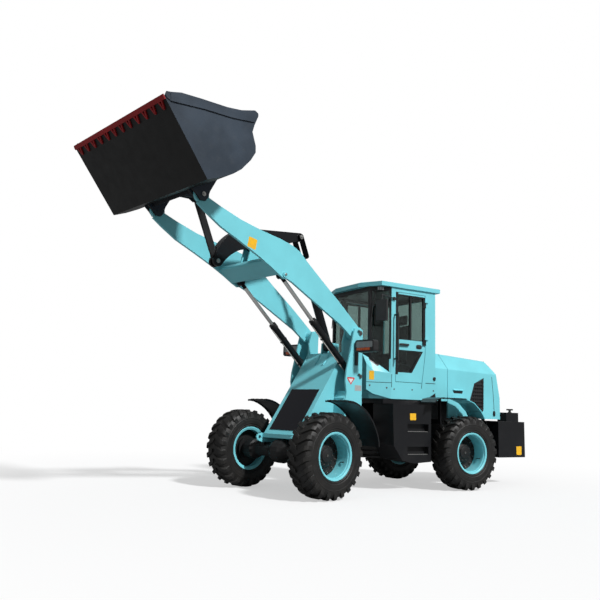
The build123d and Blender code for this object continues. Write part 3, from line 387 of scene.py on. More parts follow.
teal = paint("teal_paint", TEAL)
teal_front = paint("teal_paint_front", TEAL, front=True, regions=[(hinge_black, BLACK)])
teal_arms = paint("teal_paint_arms", TEAL, front=True)
teal_cab = paint("teal_paint_cab", TEAL, regions=[(cab_black, BLACK), (inside_cab, GREY_TRIM)])
teal_door = paint("teal_paint_door", TEAL, regions=[(door_black, BLACK)])
black = paint("black_paint", BLACK, **BLACK_GLOSS)
black_front = paint("black_paint_front", BLACK, front=True, **BLACK_GLOSS)
# The fenders' rear halves are teal paint, made darker as painted shade.
fender_paint = paint("fender_paint", BLACK, regions=[(fender_teal, TEAL_SHADED)], **BLACK_GLOSS)
gloss_black = paint("gloss_black_panel", (0.003, 0.0035, 0.007), front=True, dust=0.01,
                    roughness=0.16, shine=0.3)
# The bucket's faces turned down get a near-black painted shade.
bucket_paint = worn_steel("bucket_paint", NAVY, (0.10, 0.10, 0.10), 0.10, True, below=UNDERSIDE_SHADE)
edge_paint = worn_steel("edge_paint", (0.260, 0.003, 0.005), (0.08, 0.012, 0.010), 0.35, True)
cast = worn_steel("cast_black", (0.0075, 0.0075, 0.008), (0.03, 0.028, 0.026), 0.2,
                  roughness=0.5)
rubber_coat = rubber()
cab_pane = glass("cab_glass", (0.34, 0.44, 0.42))
chrome = metal("chrome", (0.80, 0.80, 0.78), 0.10, (1, 14, 1))
lift_chrome = metal("lift_rod_chrome", (0.86, 0.85, 0.82), 0.16, (1, 14, 1), True,
                    lift_eye_black)
tilt_chrome = metal("tilt_rod_chrome", (0.80, 0.80, 0.78), 0.10, (1, 14, 1), True,
                    tilt_fork_black)
zinc = paint("zinc_plated_pipe", (0.46, 0.45, 0.42), roughness=0.26)
steel = metal("bright_steel", (0.62, 0.62, 0.60), 0.28, (1, 6, 1))
dark_steel = metal("dark_steel", (0.20, 0.19, 0.18), 0.42, (1, 3, 1))
trim = plastic("black_trim", (0.012, 0.012, 0.013))
grey_trim = plastic("grey_trim", (0.040, 0.042, 0.045), 0.6)
seal = plastic("seal_rubber", (0.006, 0.007, 0.008), 0.7)
cover = fabric("seat_fabric", (0.016, 0.017, 0.020))
vinyl = plastic("seat_vinyl", (0.014, 0.014, 0.016), 0.45, 260.0)
clear_lens = lens("clear_lens", (0.34, 0.35, 0.36), 260.0)
amber_lens = lens("amber_lens", (0.78, 0.11, 0.018), 180.0)
red_lens = lens("red_lens", (0.42, 0.010, 0.010), 180.0)
mirror_face = metal("mirror_face", (0.86, 0.87, 0.88), 0.03)
yellow_film = film("yellow_sticker", (0.86, 0.47, 0.010))
red_film = film("red_sticker", (0.62, 0.02, 0.02))
white_film = film("white_sticker", (0.74, 0.74, 0.73))
grey_film = film("grey_plate", (0.36, 0.38, 0.38), 0.3)

looks = {
    teal: "cab_roof rear_cowl hood rim_front_left rim_front_right rim_rear_left rim_rear_right",
    teal_front: "front_frame",
    teal_arms: "tie_down_eyes lift_arms",
    teal_cab: "cab_frame",
    teal_door: "door_left door_right",
    black: "steering_barrel_left steering_barrel_right rear_frame step_boxes counterweight",
    black_front: "front_fenders rocker lift_barrel_left lift_barrel_right tilt_barrel",
    fender_paint: "rear_fenders",
    gloss_black: "front_panel",
    bucket_paint: "bucket",
    edge_paint: "cutting_edge",
    cast: "front_axle rear_axle bucket_link",
    chrome: "steering_rod_left steering_rod_right",
    lift_chrome: "lift_rod_left lift_rod_right",
    tilt_chrome: "tilt_rod",
    dark_steel: "tow_pin",
    cab_pane: "cab_glass door_glass_left door_glass_right",
    trim: "headlamps dashboard steering_column hood_grilles mirrors grab_bars work_lamps",
    grey_trim: "power_unit",
    vinyl: "seat",
    rubber_coat: "tyre_front_left tyre_front_right tyre_rear_left tyre_rear_right",
}
for material, node_names in looks.items():
    for node_name in node_names.split():
        slots = frame["nodes"][node_name].data.materials
        slots.clear()
        slots.append(material)


# ---- mesh building
# An outline's X and Y become the machine's X and Z, and its depth runs to the left.
PROFILE = Matrix(((1, 0, 0, 0), (0, 0, 1, 0), (0, 1, 0, 0), (0, 0, 0, 1)))


def bridge(bm, here, there, count=None):
    """Faces between two rings of vertices, all round or along the first count edges."""
    for k in range(count or len(here)):
        after = (k + 1) % len(here)
        bm.faces.new((here[k], here[after], there[after], there[k]))


def loft(bm, rings, count=None):
    """A skin over a row of rings, capped at both ends."""
    for here, there in zip(rings, rings[1:]):
        bridge(bm, here, there, count)
    bm.faces.new(rings[0][::-1])
    bm.faces.new(rings[-1])


def add_box(bm, low, high):
    """A straight box between two corners."""
    size = [b - a for a, b in zip(low, high)]
    middle = Vector([(a + b) / 2 for a, b in zip(low, high)])
    place = Matrix.Translation(middle) @ Matrix.Diagonal((*size, 1))
    bmesh.ops.create_cube(bm, size=1.0, matrix=place)


def add_side_box(bm, side, x_span, y_span, z_span):
    """A straight box on one side of the machine; y_span is measured out from its middle plane."""
    y_low, y_high = sorted(side * y for y in y_span)
    add_box(bm, (x_span[0], y_low, z_span[0]), (x_span[1], y_high, z_span[1]))


def add_rod(bm, start, end, radius, sides=20, end_radius=None):
    """A round bar from start to end, tapered where end_radius is given."""
    start, end = Vector(start), Vector(end)
    along = end - start
    turn = along.to_track_quat("Z", "Y").to_matrix().to_4x4()
    bmesh.ops.create_cone(bm, cap_ends=True, segments=sides, radius1=radius,
                          radius2=end_radius or radius, depth=along.length,
                          matrix=Matrix.Translation((start + end) / 2) @ turn)


def add_prism(bm, outline, depth, place):
    """An outline in the place's X and Y, raised along its Z by depth."""
    low = [bm.verts.new(place @ Vector((x, y, 0))) for x, y in outline]
    high = [bm.verts.new(place @ Vector((x, y, depth))) for x, y in outline]
    bm.faces.new(low[::-1])
    bm.faces.new(high)
    bridge(bm, low, high)


def add_side_plate(bm, side, outline, inner, outer):
    """A plate with its outline in X and Z, between two distances from the middle plane."""
    low = min(side * inner, side * outer)
    add_prism(bm, outline, outer - inner, Matrix.Translation((0, low, 0)) @ PROFILE)


def add_lathe(bm, profile, steps, place=Matrix(), closed=True):
    """A profile of (radius, y) turned about the place's Y axis."""
    rings = []
    for step in range(steps):
        turn = 2 * pi * step / steps
        rings.append([bm.verts.new(place @ Vector((radius * cos(turn), y, radius * sin(turn))))
                      for radius, y in profile])
    for here, there in zip(rings, rings[1:] + rings[:1]):
        bridge(bm, here, there, len(profile) - (0 if closed else 1))


def add_tube(bm, points, radius, sides=10):
    """A round tube along points."""
    points = [Vector(point) for point in points]
    turns = [2 * pi * k / sides for k in range(sides)]
    side = None
    rings = []
    for index, point in enumerate(points):
        ahead = points[min(index + 1, len(points) - 1)] - points[max(index - 1, 0)]
        ahead.normalize()
        if side is None:
            side = ahead.orthogonal().normalized()
        side = (side - ahead * side.dot(ahead)).normalized()
        up = ahead.cross(side)
        rings.append([bm.verts.new(point + (side * cos(turn) + up * sin(turn)) * radius)
                      for turn in turns])
    loft(bm, rings)


def rounded(width, height, radius, steps=5):
    """A rectangle's outline about its middle, with round corners."""
    points = []
    for x, y, first in ((1, 1, 0), (-1, 1, 90), (-1, -1, 180), (1, -1, 270)):
        for step in range(steps + 1):
            turn = radians(first + 90 * step / steps)
            points.append((x * (width / 2 - radius) + radius * cos(turn),
                           y * (height / 2 - radius) + radius * sin(turn)))
    return points


def moved(outline, right, up):
    """An outline shifted in its own plane."""
    return [(x + right, y + up) for x, y in outline]


def facing(at, right, up=UP):
    """A place whose X runs right, Y up, and Z out of the surface that it lies on."""
    right, up = Vector(right).normalized(), Vector(up).normalized()
    out = right.cross(up)
    return Matrix.Translation(at) @ Matrix((right, up, out)).transposed().to_4x4()


def side_place(x, y, z, lean=0.0):
    """A place on a side face at y, seen from outside; lean turns it in the face, in degrees."""
    side = 1 if y > 0 else -1
    turn = radians(lean)
    return facing((x, y, z), (-side * cos(turn), 0, -sin(turn)),
                  (-side * sin(turn), 0, cos(turn)))


def outwards(side):
    """Turns what is drawn for the left side to face out of the side."""
    return Matrix() if side > 0 else Matrix.Rotation(pi, 4, "Z")


def corner_out(side):
    """The direction out of the cab's angled corner on a side."""
    return Vector((CORNER_OUT[0], side * CORNER_OUT[1], 0))


def add_bolt(bm, at, out, radius, height):
    """A hexagon head on a washer."""
    at, out = Vector(at), Vector(out).normalized()
    seat = at + out * height * 0.3
    add_rod(bm, at, seat, radius * 1.45)
    add_rod(bm, seat, at + out * height, radius, 6, radius * 0.94)


def add_object(name, data):
    made = bpy.data.objects.new(name, data)
    scene.collection.objects.link(made)
    return made


def piece(name, bm, material, body, place=None, smooth=32.0):
    """Turns a mesh, described in its body's half or in a place, into a piece on that body."""
    bmesh.ops.remove_doubles(bm, verts=bm.verts, dist=1e-6)
    bmesh.ops.recalc_face_normals(bm, faces=bm.faces)
    mesh = bpy.data.meshes.new(name)
    bm.to_mesh(mesh)
    bm.free()
    mesh.transform(place or (REAR if body in REAR_BODIES else FRONT))
    mesh.materials.append(material)
    mesh.shade_smooth()
    mesh.set_sharp_from_angle(angle=radians(smooth))
    made = add_object(name, mesh)
    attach(made, body)
    return made


def plate_piece(name, outline, depth, place, material, body):
    """A piece that is one raised outline."""
    bm = bmesh.new()
    add_prism(bm, outline, depth, place)
    piece(name, bm, material, body)


# ---- wheels
LUGS = 24  # on each side of the tread
LUG_START, LUG_END = 0.012, 0.194  # distance from the tyre's middle plane
LUG_SLANT = 0.5332  # how far a lug runs round for each metre that it runs out
LUG_ROOT = 0.008  # how deep and how much wider a lug is rooted in the carcass
SHOULDER, DROP = 0.70, 0.046  # the share of a lug where its top starts to drop, and how far
# The carcass from its middle plane to the shoulder: y, radius.
CARCASS = [(0.0, 0.564), (0.080, 0.563), (0.130, 0.558), (0.160, 0.545), (0.180, 0.516),
           (0.192, 0.482), (0.1955, 0.462)]
# The moulded side, from the shoulder to the bead: y, radius.
SIDEWALL = [(0.199, 0.458), (0.1992, 0.450), (0.196, 0.446), (0.1985, 0.425), (0.199, 0.405),
            (0.1965, 0.385), (0.1985, 0.382), (0.1985, 0.374), (0.194, 0.370), (0.190, 0.356),
            (0.1945, 0.352), (0.194, 0.342), (0.1875, 0.3375), (0.188, 0.329),
            (0.164, 0.327), (0.162, 0.307)]
# The rim's section, from its outer lip through the barrel to the inner lip: radius, y.
RIM_SECTION = [(0.326, 0.172), (0.3265, 0.184), (0.3245, 0.1885), (0.319, 0.190),
               (0.313, 0.189), (0.302, 0.1855), (0.296, 0.1815), (0.292, 0.174),
               (0.291, 0.160), (0.286, 0.152), (0.2815, 0.146), (0.281, -0.050),
               (0.281, -0.170), (0.312, -0.184), (0.326, -0.184), (0.326, -0.172),
               (0.306, -0.163), (0.3055, 0.163)]
# The hub and the wheel's disc: radius, y.
HUB_FACE = [(0.0001, 0.028), (0.088, 0.028), (0.096, 0.024), (0.100, 0.010), (0.140, 0.002),
            (0.150, -0.006), (0.156, -0.030), (0.166, -0.034), (0.168, -0.050), (0.200, -0.051),
            (0.206, -0.0555), (0.230, -0.051), (0.262, -0.050), (0.2812, -0.047),
            (0.2812, -0.069), (0.168, -0.069), (0.168, -0.1215), (0.0001, -0.1215)]


def carcass_radius(y):
    """The radius under the tread, at a distance y from the middle plane."""
    for (y_low, r_low), (y_high, r_high) in zip(CARCASS, CARCASS[1:]):
        if y <= y_high:
            return r_low + (r_high - r_low) * (y - y_low) / (y_high - y_low)


def add_lug(bm, turn, side):
    """One slanted bar from the tread's middle over the shoulder."""
    rings = []
    for share in (0.0, 0.2, 0.4, 0.6, 0.78, 0.88, 0.95, 1.0):
        y = LUG_START + share * (LUG_END - LUG_START)
        swing = share * LUG_END * LUG_SLANT / TYRE_RADIUS
        fall = max(0.0, share - SHOULDER) / (1 - SHOULDER)
        top = TYRE_RADIUS - 0.0015 - DROP * fall ** 1.8
        root = carcass_radius(y) - LUG_ROOT
        half_top = (0.025 + 0.009 * share) / TYRE_RADIUS
        half_root = half_top + LUG_ROOT / TYRE_RADIUS
        ring = []
        for offset, radius in ((-half_root, root), (-half_top, top), (half_top, top),
                               (half_root, root)):
            angle = turn + swing + offset
            ring.append(bm.verts.new((radius * cos(angle), side * y, radius * sin(angle))))
        rings.append(ring)
    loft(bm, rings, 3)


def make_tyre(corner, place):
    """The carcass with its moulded sides, and two rows of lugs."""
    bm = bmesh.new()
    half = CARCASS + SIDEWALL
    add_lathe(bm, [(radius, y) for y, radius in half]
              + [(radius, -y) for y, radius in half[:0:-1]], 144)
    for side, phase in ((1, 0.25), (-1, 0.75)):
        for index in range(LUGS):
            add_lug(bm, 2 * pi / LUGS * (index + phase), side)
    made = piece("tyre_detail_" + corner, bm, rubber_coat, "wheel_" + corner, place, 28.0)
    bevel = made.modifiers.new("lug edges", "BEVEL")
    bevel.width = 0.0035
    bevel.limit_method = "ANGLE"
    bevel.angle_limit = radians(38)
    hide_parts("tyre_" + corner)


def make_wheel(corner, place):
    """A tyre, its rim, the hub, the wheel bolts and the valve, drawn facing left."""
    make_tyre(corner, place)
    body = "wheel_" + corner
    bm = bmesh.new()
    add_lathe(bm, RIM_SECTION, 128)
    rim = piece("rim_detail_" + corner, bm, teal, body, place, 24.0)
    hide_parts("rim_" + corner)
    bm = bmesh.new()
    add_lathe(bm, HUB_FACE, 96)
    piece("hub_" + corner, bm, cast, body, place)
    bm = bmesh.new()
    for count, phase, circle, y, radius, height in ((12, 0.5, 0.238, -0.051, 0.0125, 0.030),
                                                    (10, 0.0, 0.122, 0.004, 0.0065, 0.010)):
        for index in range(count):
            turn = 2 * pi * (index + phase) / count
            add_bolt(bm, (circle * cos(turn), y, circle * sin(turn)), (0, 1, 0), radius, height)
    add_rod(bm, (0, 0.027, 0), (0, 0.036, 0), 0.020, 6)
    piece("wheel_bolts_" + corner, bm, dark_steel, body, place)
    bm = bmesh.new()
    turn = radians(200)
    root = Vector((0.282 * cos(turn), 0.020, 0.282 * sin(turn)))
    tip = Vector((0.262 * cos(turn), 0.095, 0.262 * sin(turn)))
    add_tube(bm, [root, root.lerp(tip, 0.35) * 0.985, tip], 0.0055)
    add_rod(bm, tip, tip + (tip - root) * 0.22, 0.0075, 12)
    piece("valve_" + corner, bm, seal, body, place)


for end, half, wheel_x in (("front_", FRONT, HALF_WHEELBASE), ("rear_", REAR, -HALF_WHEELBASE)):
    for side, label in SIDES:
        middle = Matrix.Translation((wheel_x, side * WHEEL_Y, TYRE_RADIUS))
        make_wheel(end + label, half @ middle @ outwards(side))


# ---- pins, bolts and pipes
def add_pin_head(bm, pin, y, radius):
    """A pin's end with its keeper plate, the keeper's bolt and a grease nipple."""
    x, z = pin
    side = 1 if y > 0 else -1
    add_rod(bm, (x, y, z), (x, y + side * 0.004, z), radius, 32)
    place = side_place(x, y + side * 0.002, z, 35)
    keeper = rounded(radius * 2.4, radius * 0.9, radius * 0.4)
    add_prism(bm, moved(keeper, -radius * 0.9, 0), 0.006, place)
    add_bolt(bm, place @ Vector((-radius * 1.7, 0, 0.006)), (0, side, 0), 0.010, 0.012)
    add_rod(bm, (x, y, z), (x, y + side * 0.016, z), 0.006, 10, 0.004)


def add_pin_face(bm, pin, side, y, proud, radius, bolt, sides=32, sunk=0.001):
    """A pin's end that stands proud of a face at y, with a bolt, given as radius and height."""
    x, z = pin
    add_rod(bm, (x, side * y, z), (x, side * (y + proud), z), radius, sides)
    add_bolt(bm, (x, side * (y + proud - sunk), z), (0, side, 0), *bolt)


# A lift cylinder's oil pipe, in distances along the cylinder and below its axis, and the
# sections of its gland and of the bands that hold the pipe: radius, y.
PIPE = [(0.20, 0.045), (0.205, 0.058), (0.225, 0.064), (0.60, 0.064), (1.10, 0.064),
        (1.125, 0.060), (1.135, 0.045)]
GLAND = [(0.0495, -0.045), (0.0565, -0.045), (0.0575, -0.040), (0.0575, 0.030), (0.055, 0.034),
         (0.0495, 0.034)]
BAND = [(0.0495, -0.012), (0.055, -0.012), (0.055, 0.012), (0.0495, 0.012)]
along = Vector((LIFT_EYE[0] - LIFT_BASE[0], 0, LIFT_EYE[1] - LIFT_BASE[1])).normalized()
below = Vector((along.z, 0, -along.x))

for side, label in SIDES:
    bm = bmesh.new()
    add_pin_head(bm, ARM_PIVOT, side * (TOWER_Y + 0.012), 0.036)
    add_pin_head(bm, LIFT_BASE, side * (TOWER_Y + 0.012), 0.031)
    piece("tower_pin_heads_" + label, bm, dark_steel, "front_frame")
    bm = bmesh.new()
    add_pin_face(bm, BUCKET_HINGE, side, 0.592, 0.005, 0.030, (0.016, 0.016))
    piece("bucket_pin_heads_" + label, bm, steel, "bucket")
    bm = bmesh.new()
    add_pin_face(bm, LIFT_EYE, side, ARM_Y + 0.022, 0.004, 0.020, (0.009, 0.010), 24)
    piece("arm_pin_heads_" + label, bm, steel, "boom")

    across = Vector((0, side, 0))
    round_axis = across.cross(along)
    start = Vector((LIFT_BASE[0], side * CYLINDER_Y, LIFT_BASE[1]))
    bm = bmesh.new()
    add_tube(bm, [start + along * run + below * out for run, out in PIPE], 0.008)
    piece("lift_pipe_" + label, bm, zinc, "lift_barrel_" + label)
    bm = bmesh.new()
    add_lathe(bm, GLAND, 48, facing(start + along * 1.150, round_axis, along))
    for run in (0.36, 0.86):
        middle = start + along * run
        add_lathe(bm, BAND, 40, facing(middle, round_axis, along))
        add_prism(bm, rounded(0.040, 0.026, 0.006), 0.012,
                  facing(middle + below * 0.066, across, along)
                  @ Matrix.Translation((0, 0, -0.006)))
    piece("lift_pipe_clamps_" + label, bm, cast, "lift_barrel_" + label)

# ---- bucket edge
EDGE_TIP = Vector((4.598, 0, 4.702))
HEEL = Vector((3.930, 0, 3.865))
BUCKET_HALF = 1.135
TEETH = 12
PITCH = (2 * BUCKET_HALF - 0.024) / TEETH
# The edge lies on the bucket's floor: X to the left, Y forward to the tip, Z out.
floor_place = facing(EDGE_TIP, (0, 1, 0), EDGE_TIP - HEEL)
raised = floor_place @ Matrix.Translation((0, 0, 0.006))
bm = bmesh.new()
blade = [(-0.062, 0.006), (-0.062, 0.024), (-0.022, 0.024), (0.0, 0.012), (0.0, 0.006)]
add_prism(bm, blade, 2 * BUCKET_HALF, floor_place @ Matrix.Translation((-BUCKET_HALF, 0, 0))
          @ Matrix(((0, 0, 1, 0), (1, 0, 0, 0), (0, 1, 0, 0), (0, 0, 0, 1))))
for index in range(TEETH):
    middle = (index + 0.5 - TEETH / 2) * PITCH
    # Each tooth's adapter has two slanted legs and a nose.
    for way in (-1, 1):
        leg = [(way * 0.046, -0.058), (way * 0.018, -0.058), (way * -0.004, -0.150),
               (way * 0.016, -0.150)]
        add_prism(bm, moved(leg, middle, 0), 0.018, raised)
    nose = [(-0.017, -0.138), (0.017, -0.138), (0.010, -0.162), (-0.010, -0.162)]
    add_prism(bm, moved(nose, middle, 0), 0.016, raised)
edge = piece("cutting_edge_detail", bm, edge_paint, "bucket")
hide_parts("cutting_edge")
bm = bmesh.new()
for side, _ in SIDES:
    add_side_plate(bm, side, [(4.500, 4.580), (4.582, 4.684), (4.562, 4.744), (4.521, 4.750)],
                   BUCKET_HALF - 0.014, BUCKET_HALF)
    add_side_plate(bm, side, [(4.500, 4.640), (4.560, 4.666), (4.578, 4.690), (4.562, 4.740),
                              (4.516, 4.746)], BUCKET_HALF - 0.004, BUCKET_HALF + 0.0085)
piece("side_cutters", bm, bucket_paint, "bucket")

# ---- front fenders
# The fender's line in X and Z, from its front edge back and down.
FENDER_LINE = [(1.345, 1.334), (1.300, 1.338), (1.220, 1.329), (1.130, 1.301), (1.040, 1.258),
               (0.958, 1.209), (0.874, 1.139), (0.801, 1.056), (0.737, 0.955), (0.685, 0.844),
               (0.668, 0.774), (0.660, 0.702)]
# Its section across, with four pressed ribs: distance from the middle plane, height.
fender_section = [(0.650, -0.018), (0.650, 0.007)]
for rib in (0.703, 0.808, 0.913, 1.018):
    fender_section += [(rib - 0.018, 0.007), (rib - 0.010, 0.015), (rib + 0.010, 0.015),
                       (rib + 0.018, 0.007)]
fender_section += [(1.098, 0.007), (1.105, 0.001), (1.105, -0.022), (1.101, -0.022),
                   (1.098, -0.006), (0.654, -0.006), (0.654, -0.018)]
for side, label in SIDES:
    bm = bmesh.new()
    rings = []
    for index, (x, z) in enumerate(FENDER_LINE):
        before = FENDER_LINE[max(index - 1, 0)]
        after = FENDER_LINE[min(index + 1, len(FENDER_LINE) - 1)]
        out = Vector((after[1] - before[1], 0, before[0] - after[0])).normalized()
        rings.append([bm.verts.new(Vector((x, side * y, z)) + out * height)
                      for y, height in fender_section])
    loft(bm, rings)
    add_side_box(bm, side, (0.840, 0.884), (TOWER_Y, 0.670), (1.090, 1.125))
    fender = piece("front_fender_" + label, bm, black_front, "front_frame",
                   smooth=26.0)
    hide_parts("front_fenders")

# The rocker's pins.
bm = bmesh.new()
for side, _ in SIDES:
    add_pin_face(bm, ROCKER_TOP, side, 0.086, 0.008, 0.034, (0.015, 0.014), sunk=0.002)
piece("tilt_pin_heads", bm, steel, "tilt_rod")
bm = bmesh.new()
for side, _ in SIDES:
    add_pin_face(bm, ROCKER_PIN, side, 0.060, 0.006, 0.032, (0.015, 0.014))
piece("rocker_pin_heads", bm, steel, "rocker")

# ---- lamps and mirrors
MIRROR_SWING = radians(30)
for side, label in SIDES:
    lamp = facing((0.700, side * 0.815, 2.178), (0, 1, 0))
    bm = bmesh.new()
    outer, inner = rounded(0.362, 0.178, 0.040, 6), rounded(0.330, 0.146, 0.026, 6)
    rings = [[bm.verts.new(lamp @ Vector((x, y, depth))) for x, y in outline]
             for outline, depth in ((outer, 0.0), (outer, 0.005), (inner, 0.007), (inner, 0.0))]
    for here, there in zip(rings, rings[1:] + rings[:1]):
        bridge(bm, here, there)
    piece("headlamp_bezel_" + label, bm, trim, "front_frame")
    plate_piece("headlamp_lens_" + label, moved(rounded(0.322, 0.094, 0.022), 0, 0.022), 0.004,
                lamp, clear_lens, "front_frame")
    plate_piece("headlamp_amber_" + label,
                moved(rounded(0.270, 0.040, 0.012), side * -0.02, -0.048), 0.0045, lamp,
                amber_lens, "front_frame")

    out = corner_out(side)
    middle = Vector((-0.0415, side * 0.6195, 3.163)) + out * 0.055
    plate_piece("work_lamp_lens_" + label, rounded(0.096, 0.054, 0.010), 0.004,
                facing(middle, Vector(UP).cross(out)), clear_lens, "rear_frame")

    back = Vector((-cos(MIRROR_SWING), -side * sin(MIRROR_SWING), 0))
    middle = Vector((0.140, side * 0.900, 2.765)) + back * 0.0225
    plate_piece("mirror_glass_" + label, rounded(0.172, 0.304, 0.020), 0.003,
                facing(middle, Vector(UP).cross(back)), mirror_face, "rear_frame")

# ---- stickers and plates, all blank
STICKER = 0.0012  # thickness of a printed film
tower_at = side_place(0.760, TOWER_Y, 1.655)
plate_piece("arm_sticker", rounded(0.148, 0.146, 0.008), STICKER,
            side_place(2.734, ARM_Y, 3.412, 10), yellow_film, "boom")
plate_piece("tower_sticker_edge", [(-0.086, 0.036), (0.0, -0.062), (0.086, 0.036),
                                   (0.072, 0.050), (-0.072, 0.050)], STICKER,
            tower_at, red_film, "front_frame")
plate_piece("tower_sticker_face", [(-0.058, 0.030), (0.0, -0.036), (0.058, 0.030)],
            STICKER + 0.001, tower_at, white_film, "front_frame")
plate_piece("tower_plate", rounded(0.150, 0.084, 0.006), 0.0015,
            side_place(0.593, TOWER_Y, 1.550), grey_film, "front_frame")
for name, outline, place in (
        ("corner", rounded(0.082, 0.140, 0.007),
         facing((0.108, 0.6145, 1.768), (-0.946, 0.324, 0))),
        ("step", rounded(0.122, 0.104, 0.006), side_place(-0.530, STEP_Y, 1.142)),
        ("weight", rounded(0.130, 0.150, 0.008), side_place(-3.215, WEIGHT_Y, 0.592))):
    plate_piece(name + "_sticker", outline, STICKER, place, yellow_film, "rear_frame")

# ---- cab, steps and hood trim
SEAM = 0.0045  # radius of the dark line in a panel joint
LATCH = (-1.100, 1.763)  # the panel latch and the door's lock, in X and Z
LOCK = (-0.768, 2.268)
GRIP = (-0.4425, 2.2825)


def trim_cab(side, label):
    """Panel joints, bolts and the latch of the cab's skirt, and the door's lock and handle."""
    face = side * CAB_Y
    bm = bmesh.new()
    add_tube(bm, [(-0.912, face, 1.686), (-1.122, face, 1.686)], SEAM, 8)
    add_tube(bm, [(-0.833, face, 1.676), (-0.824, face, 1.595)], SEAM, 8)
    add_tube(bm, [(-0.208, face, 1.800), (-0.208, face, 1.591)], SEAM, 8)
    add_tube(bm, [(-0.200, face, 1.662), (0.085, side * 0.622, 1.662),
                  (0.190, side * 0.586, 1.662)], 0.004, 8)
    piece("panel_seams_" + label, bm, seal, "rear_frame")
    bm = bmesh.new()
    flat, angled = (0, side, 0), (0.324, side * 0.946, 0)
    for x, y, z, out in ((-0.259, CAB_Y, 1.564, flat), (-0.628, CAB_Y, 1.568, flat),
                         (-1.080, CAB_Y, 1.568, flat), (0.135, 0.605, 1.610, angled),
                         (-0.130, 0.696, 1.580, angled)):
        add_bolt(bm, (x, side * y, z), out, 0.009, 0.008)
    piece("skirt_bolts_" + label, bm, dark_steel, "rear_frame")
    bm = bmesh.new()
    add_lathe(bm, [(0.0001, 0.0), (0.032, 0.0), (0.032, 0.006), (0.026, 0.011), (0.0001, 0.012)],
              40, Matrix.Translation((LATCH[0], face, LATCH[1])) @ outwards(side), False)
    add_prism(bm, rounded(0.016, 0.052, 0.007), 0.022, side_place(LATCH[0], face, LATCH[1], 20))
    piece("panel_latch_" + label, bm, trim, "rear_frame")

    place = side_place(LOCK[0], face, LOCK[1])
    bm = bmesh.new()
    add_prism(bm, rounded(0.118, 0.066, 0.032, 8), 0.008, place)
    add_prism(bm, rounded(0.078, 0.036, 0.017, 8), 0.014, place)
    add_rod(bm, (LOCK[0], face, LOCK[1]), (LOCK[0], face + side * 0.018, LOCK[1]), 0.008, 16)
    piece("door_lock_" + label, bm, trim, "door_" + label)
    bm = bmesh.new()
    for x in (GRIP[0] + 0.0825, GRIP[0] - 0.0825):
        add_rod(bm, (x, face + side * 0.020, GRIP[1]), (x, face + side * 0.026, GRIP[1]), 0.016)
    add_prism(bm, rounded(0.190, 0.030, 0.014), 0.012,
              side_place(GRIP[0], face + side * 0.021, GRIP[1]))
    piece("door_handle_grip_" + label, bm, trim, "door_" + label)


def make_wiper(side, label):
    """The wiper of a corner window: pivot, arm and blade."""
    out = corner_out(side)
    root = Vector((0.0254, side * 0.577, 3.105)) + out * 0.020
    tip = Vector((0.070, side * 0.549, 2.780)) + out * 0.018
    half_blade = Vector((-0.012, 0, 0.170))
    bm = bmesh.new()
    add_rod(bm, root - out * 0.020, root, 0.015)
    add_tube(bm, [root, root.lerp(tip, 0.5), tip], 0.006)
    piece("wiper_arm_" + label, bm, trim, "rear_frame")
    bm = bmesh.new()
    add_tube(bm, [tip + half_blade, tip, tip - half_blade], 0.007, 8)
    piece("wiper_blade_" + label, bm, seal, "rear_frame")


def make_treads(side, label):
    """The tread of each step, with raised bars."""
    bm = bmesh.new()
    for level in (0.560, 0.910):
        add_side_box(bm, side, (-0.840, -0.430), (0.785, 0.858), (level, level + 0.005))
        for index in range(9):
            x = -0.815 + index * 0.045
            add_side_box(bm, side, (x, x + 0.016), (0.795, 0.850), (level + 0.004, level + 0.009))
    piece("step_treads_" + label, bm, steel, "rear_frame")


def trim_hood(side, label):
    """An air slot with a hooded lip, the grille's mesh, the rear joint and its latch."""
    face = side * HOOD_Y
    bm = bmesh.new()
    add_prism(bm, [(-0.110, 0.018), (-0.098, -0.026), (0.098, -0.026), (0.110, 0.018)], 0.003,
              side_place(-1.688, face, 1.578))
    for level in (1.560, 1.572, 1.584):
        add_side_box(bm, side, (-1.785, -1.592), (HOOD_Y, HOOD_Y + 0.006), (level, level + 0.004))
    piece("hood_slot_" + label, bm, seal, "hood")
    bm = bmesh.new()
    add_side_plate(bm, side, [(-2.295, 1.832), (-2.075, 1.731), (-1.953, 1.400),
                              (-2.112, 1.214), (-2.227, 1.217), (-2.284, 1.292)],
                   HOOD_Y - 0.026, HOOD_Y - 0.022)
    for index, low in enumerate((1.270, 1.270, 1.270, 1.270, 1.420)):
        x = -2.232 + index * 0.052
        add_side_box(bm, side, (x, x + 0.008), (0.640, 0.648), (low, 1.700))
    piece("grille_mesh_" + label, bm, seal, "hood")
    plate_piece("hood_slot_lip_" + label, [(0.0, 0.0), (0.024, 0.010), (0.0, 0.034)], 0.232,
                facing((-1.688 - side * 0.116, face, 1.592), (0, side, 0)), teal, "hood")
    bm = bmesh.new()
    add_tube(bm, [(-2.500, face, 1.870), (-2.530, face, 1.560), (-2.548, face, 1.275)], SEAM, 8)
    piece("hood_seams_" + label, bm, seal, "hood")
    bm = bmesh.new()
    add_prism(bm, rounded(0.044, 0.086, 0.014), 0.012, side_place(-2.540, face, 1.232))
    add_prism(bm, rounded(0.018, 0.060, 0.008), 0.024, side_place(-2.540, face, 1.226, 8))
    piece("hood_latch_" + label, bm, trim, "hood")


for side, label in SIDES:
    trim_cab(side, label)
    make_wiper(side, label)
    make_treads(side, label)
    trim_hood(side, label)


# The hood's back: a louvred outlet between two tail lamps.
def hood_back(y, z):
    return facing((HOOD_BACK, y, z), (0, -1, 0))


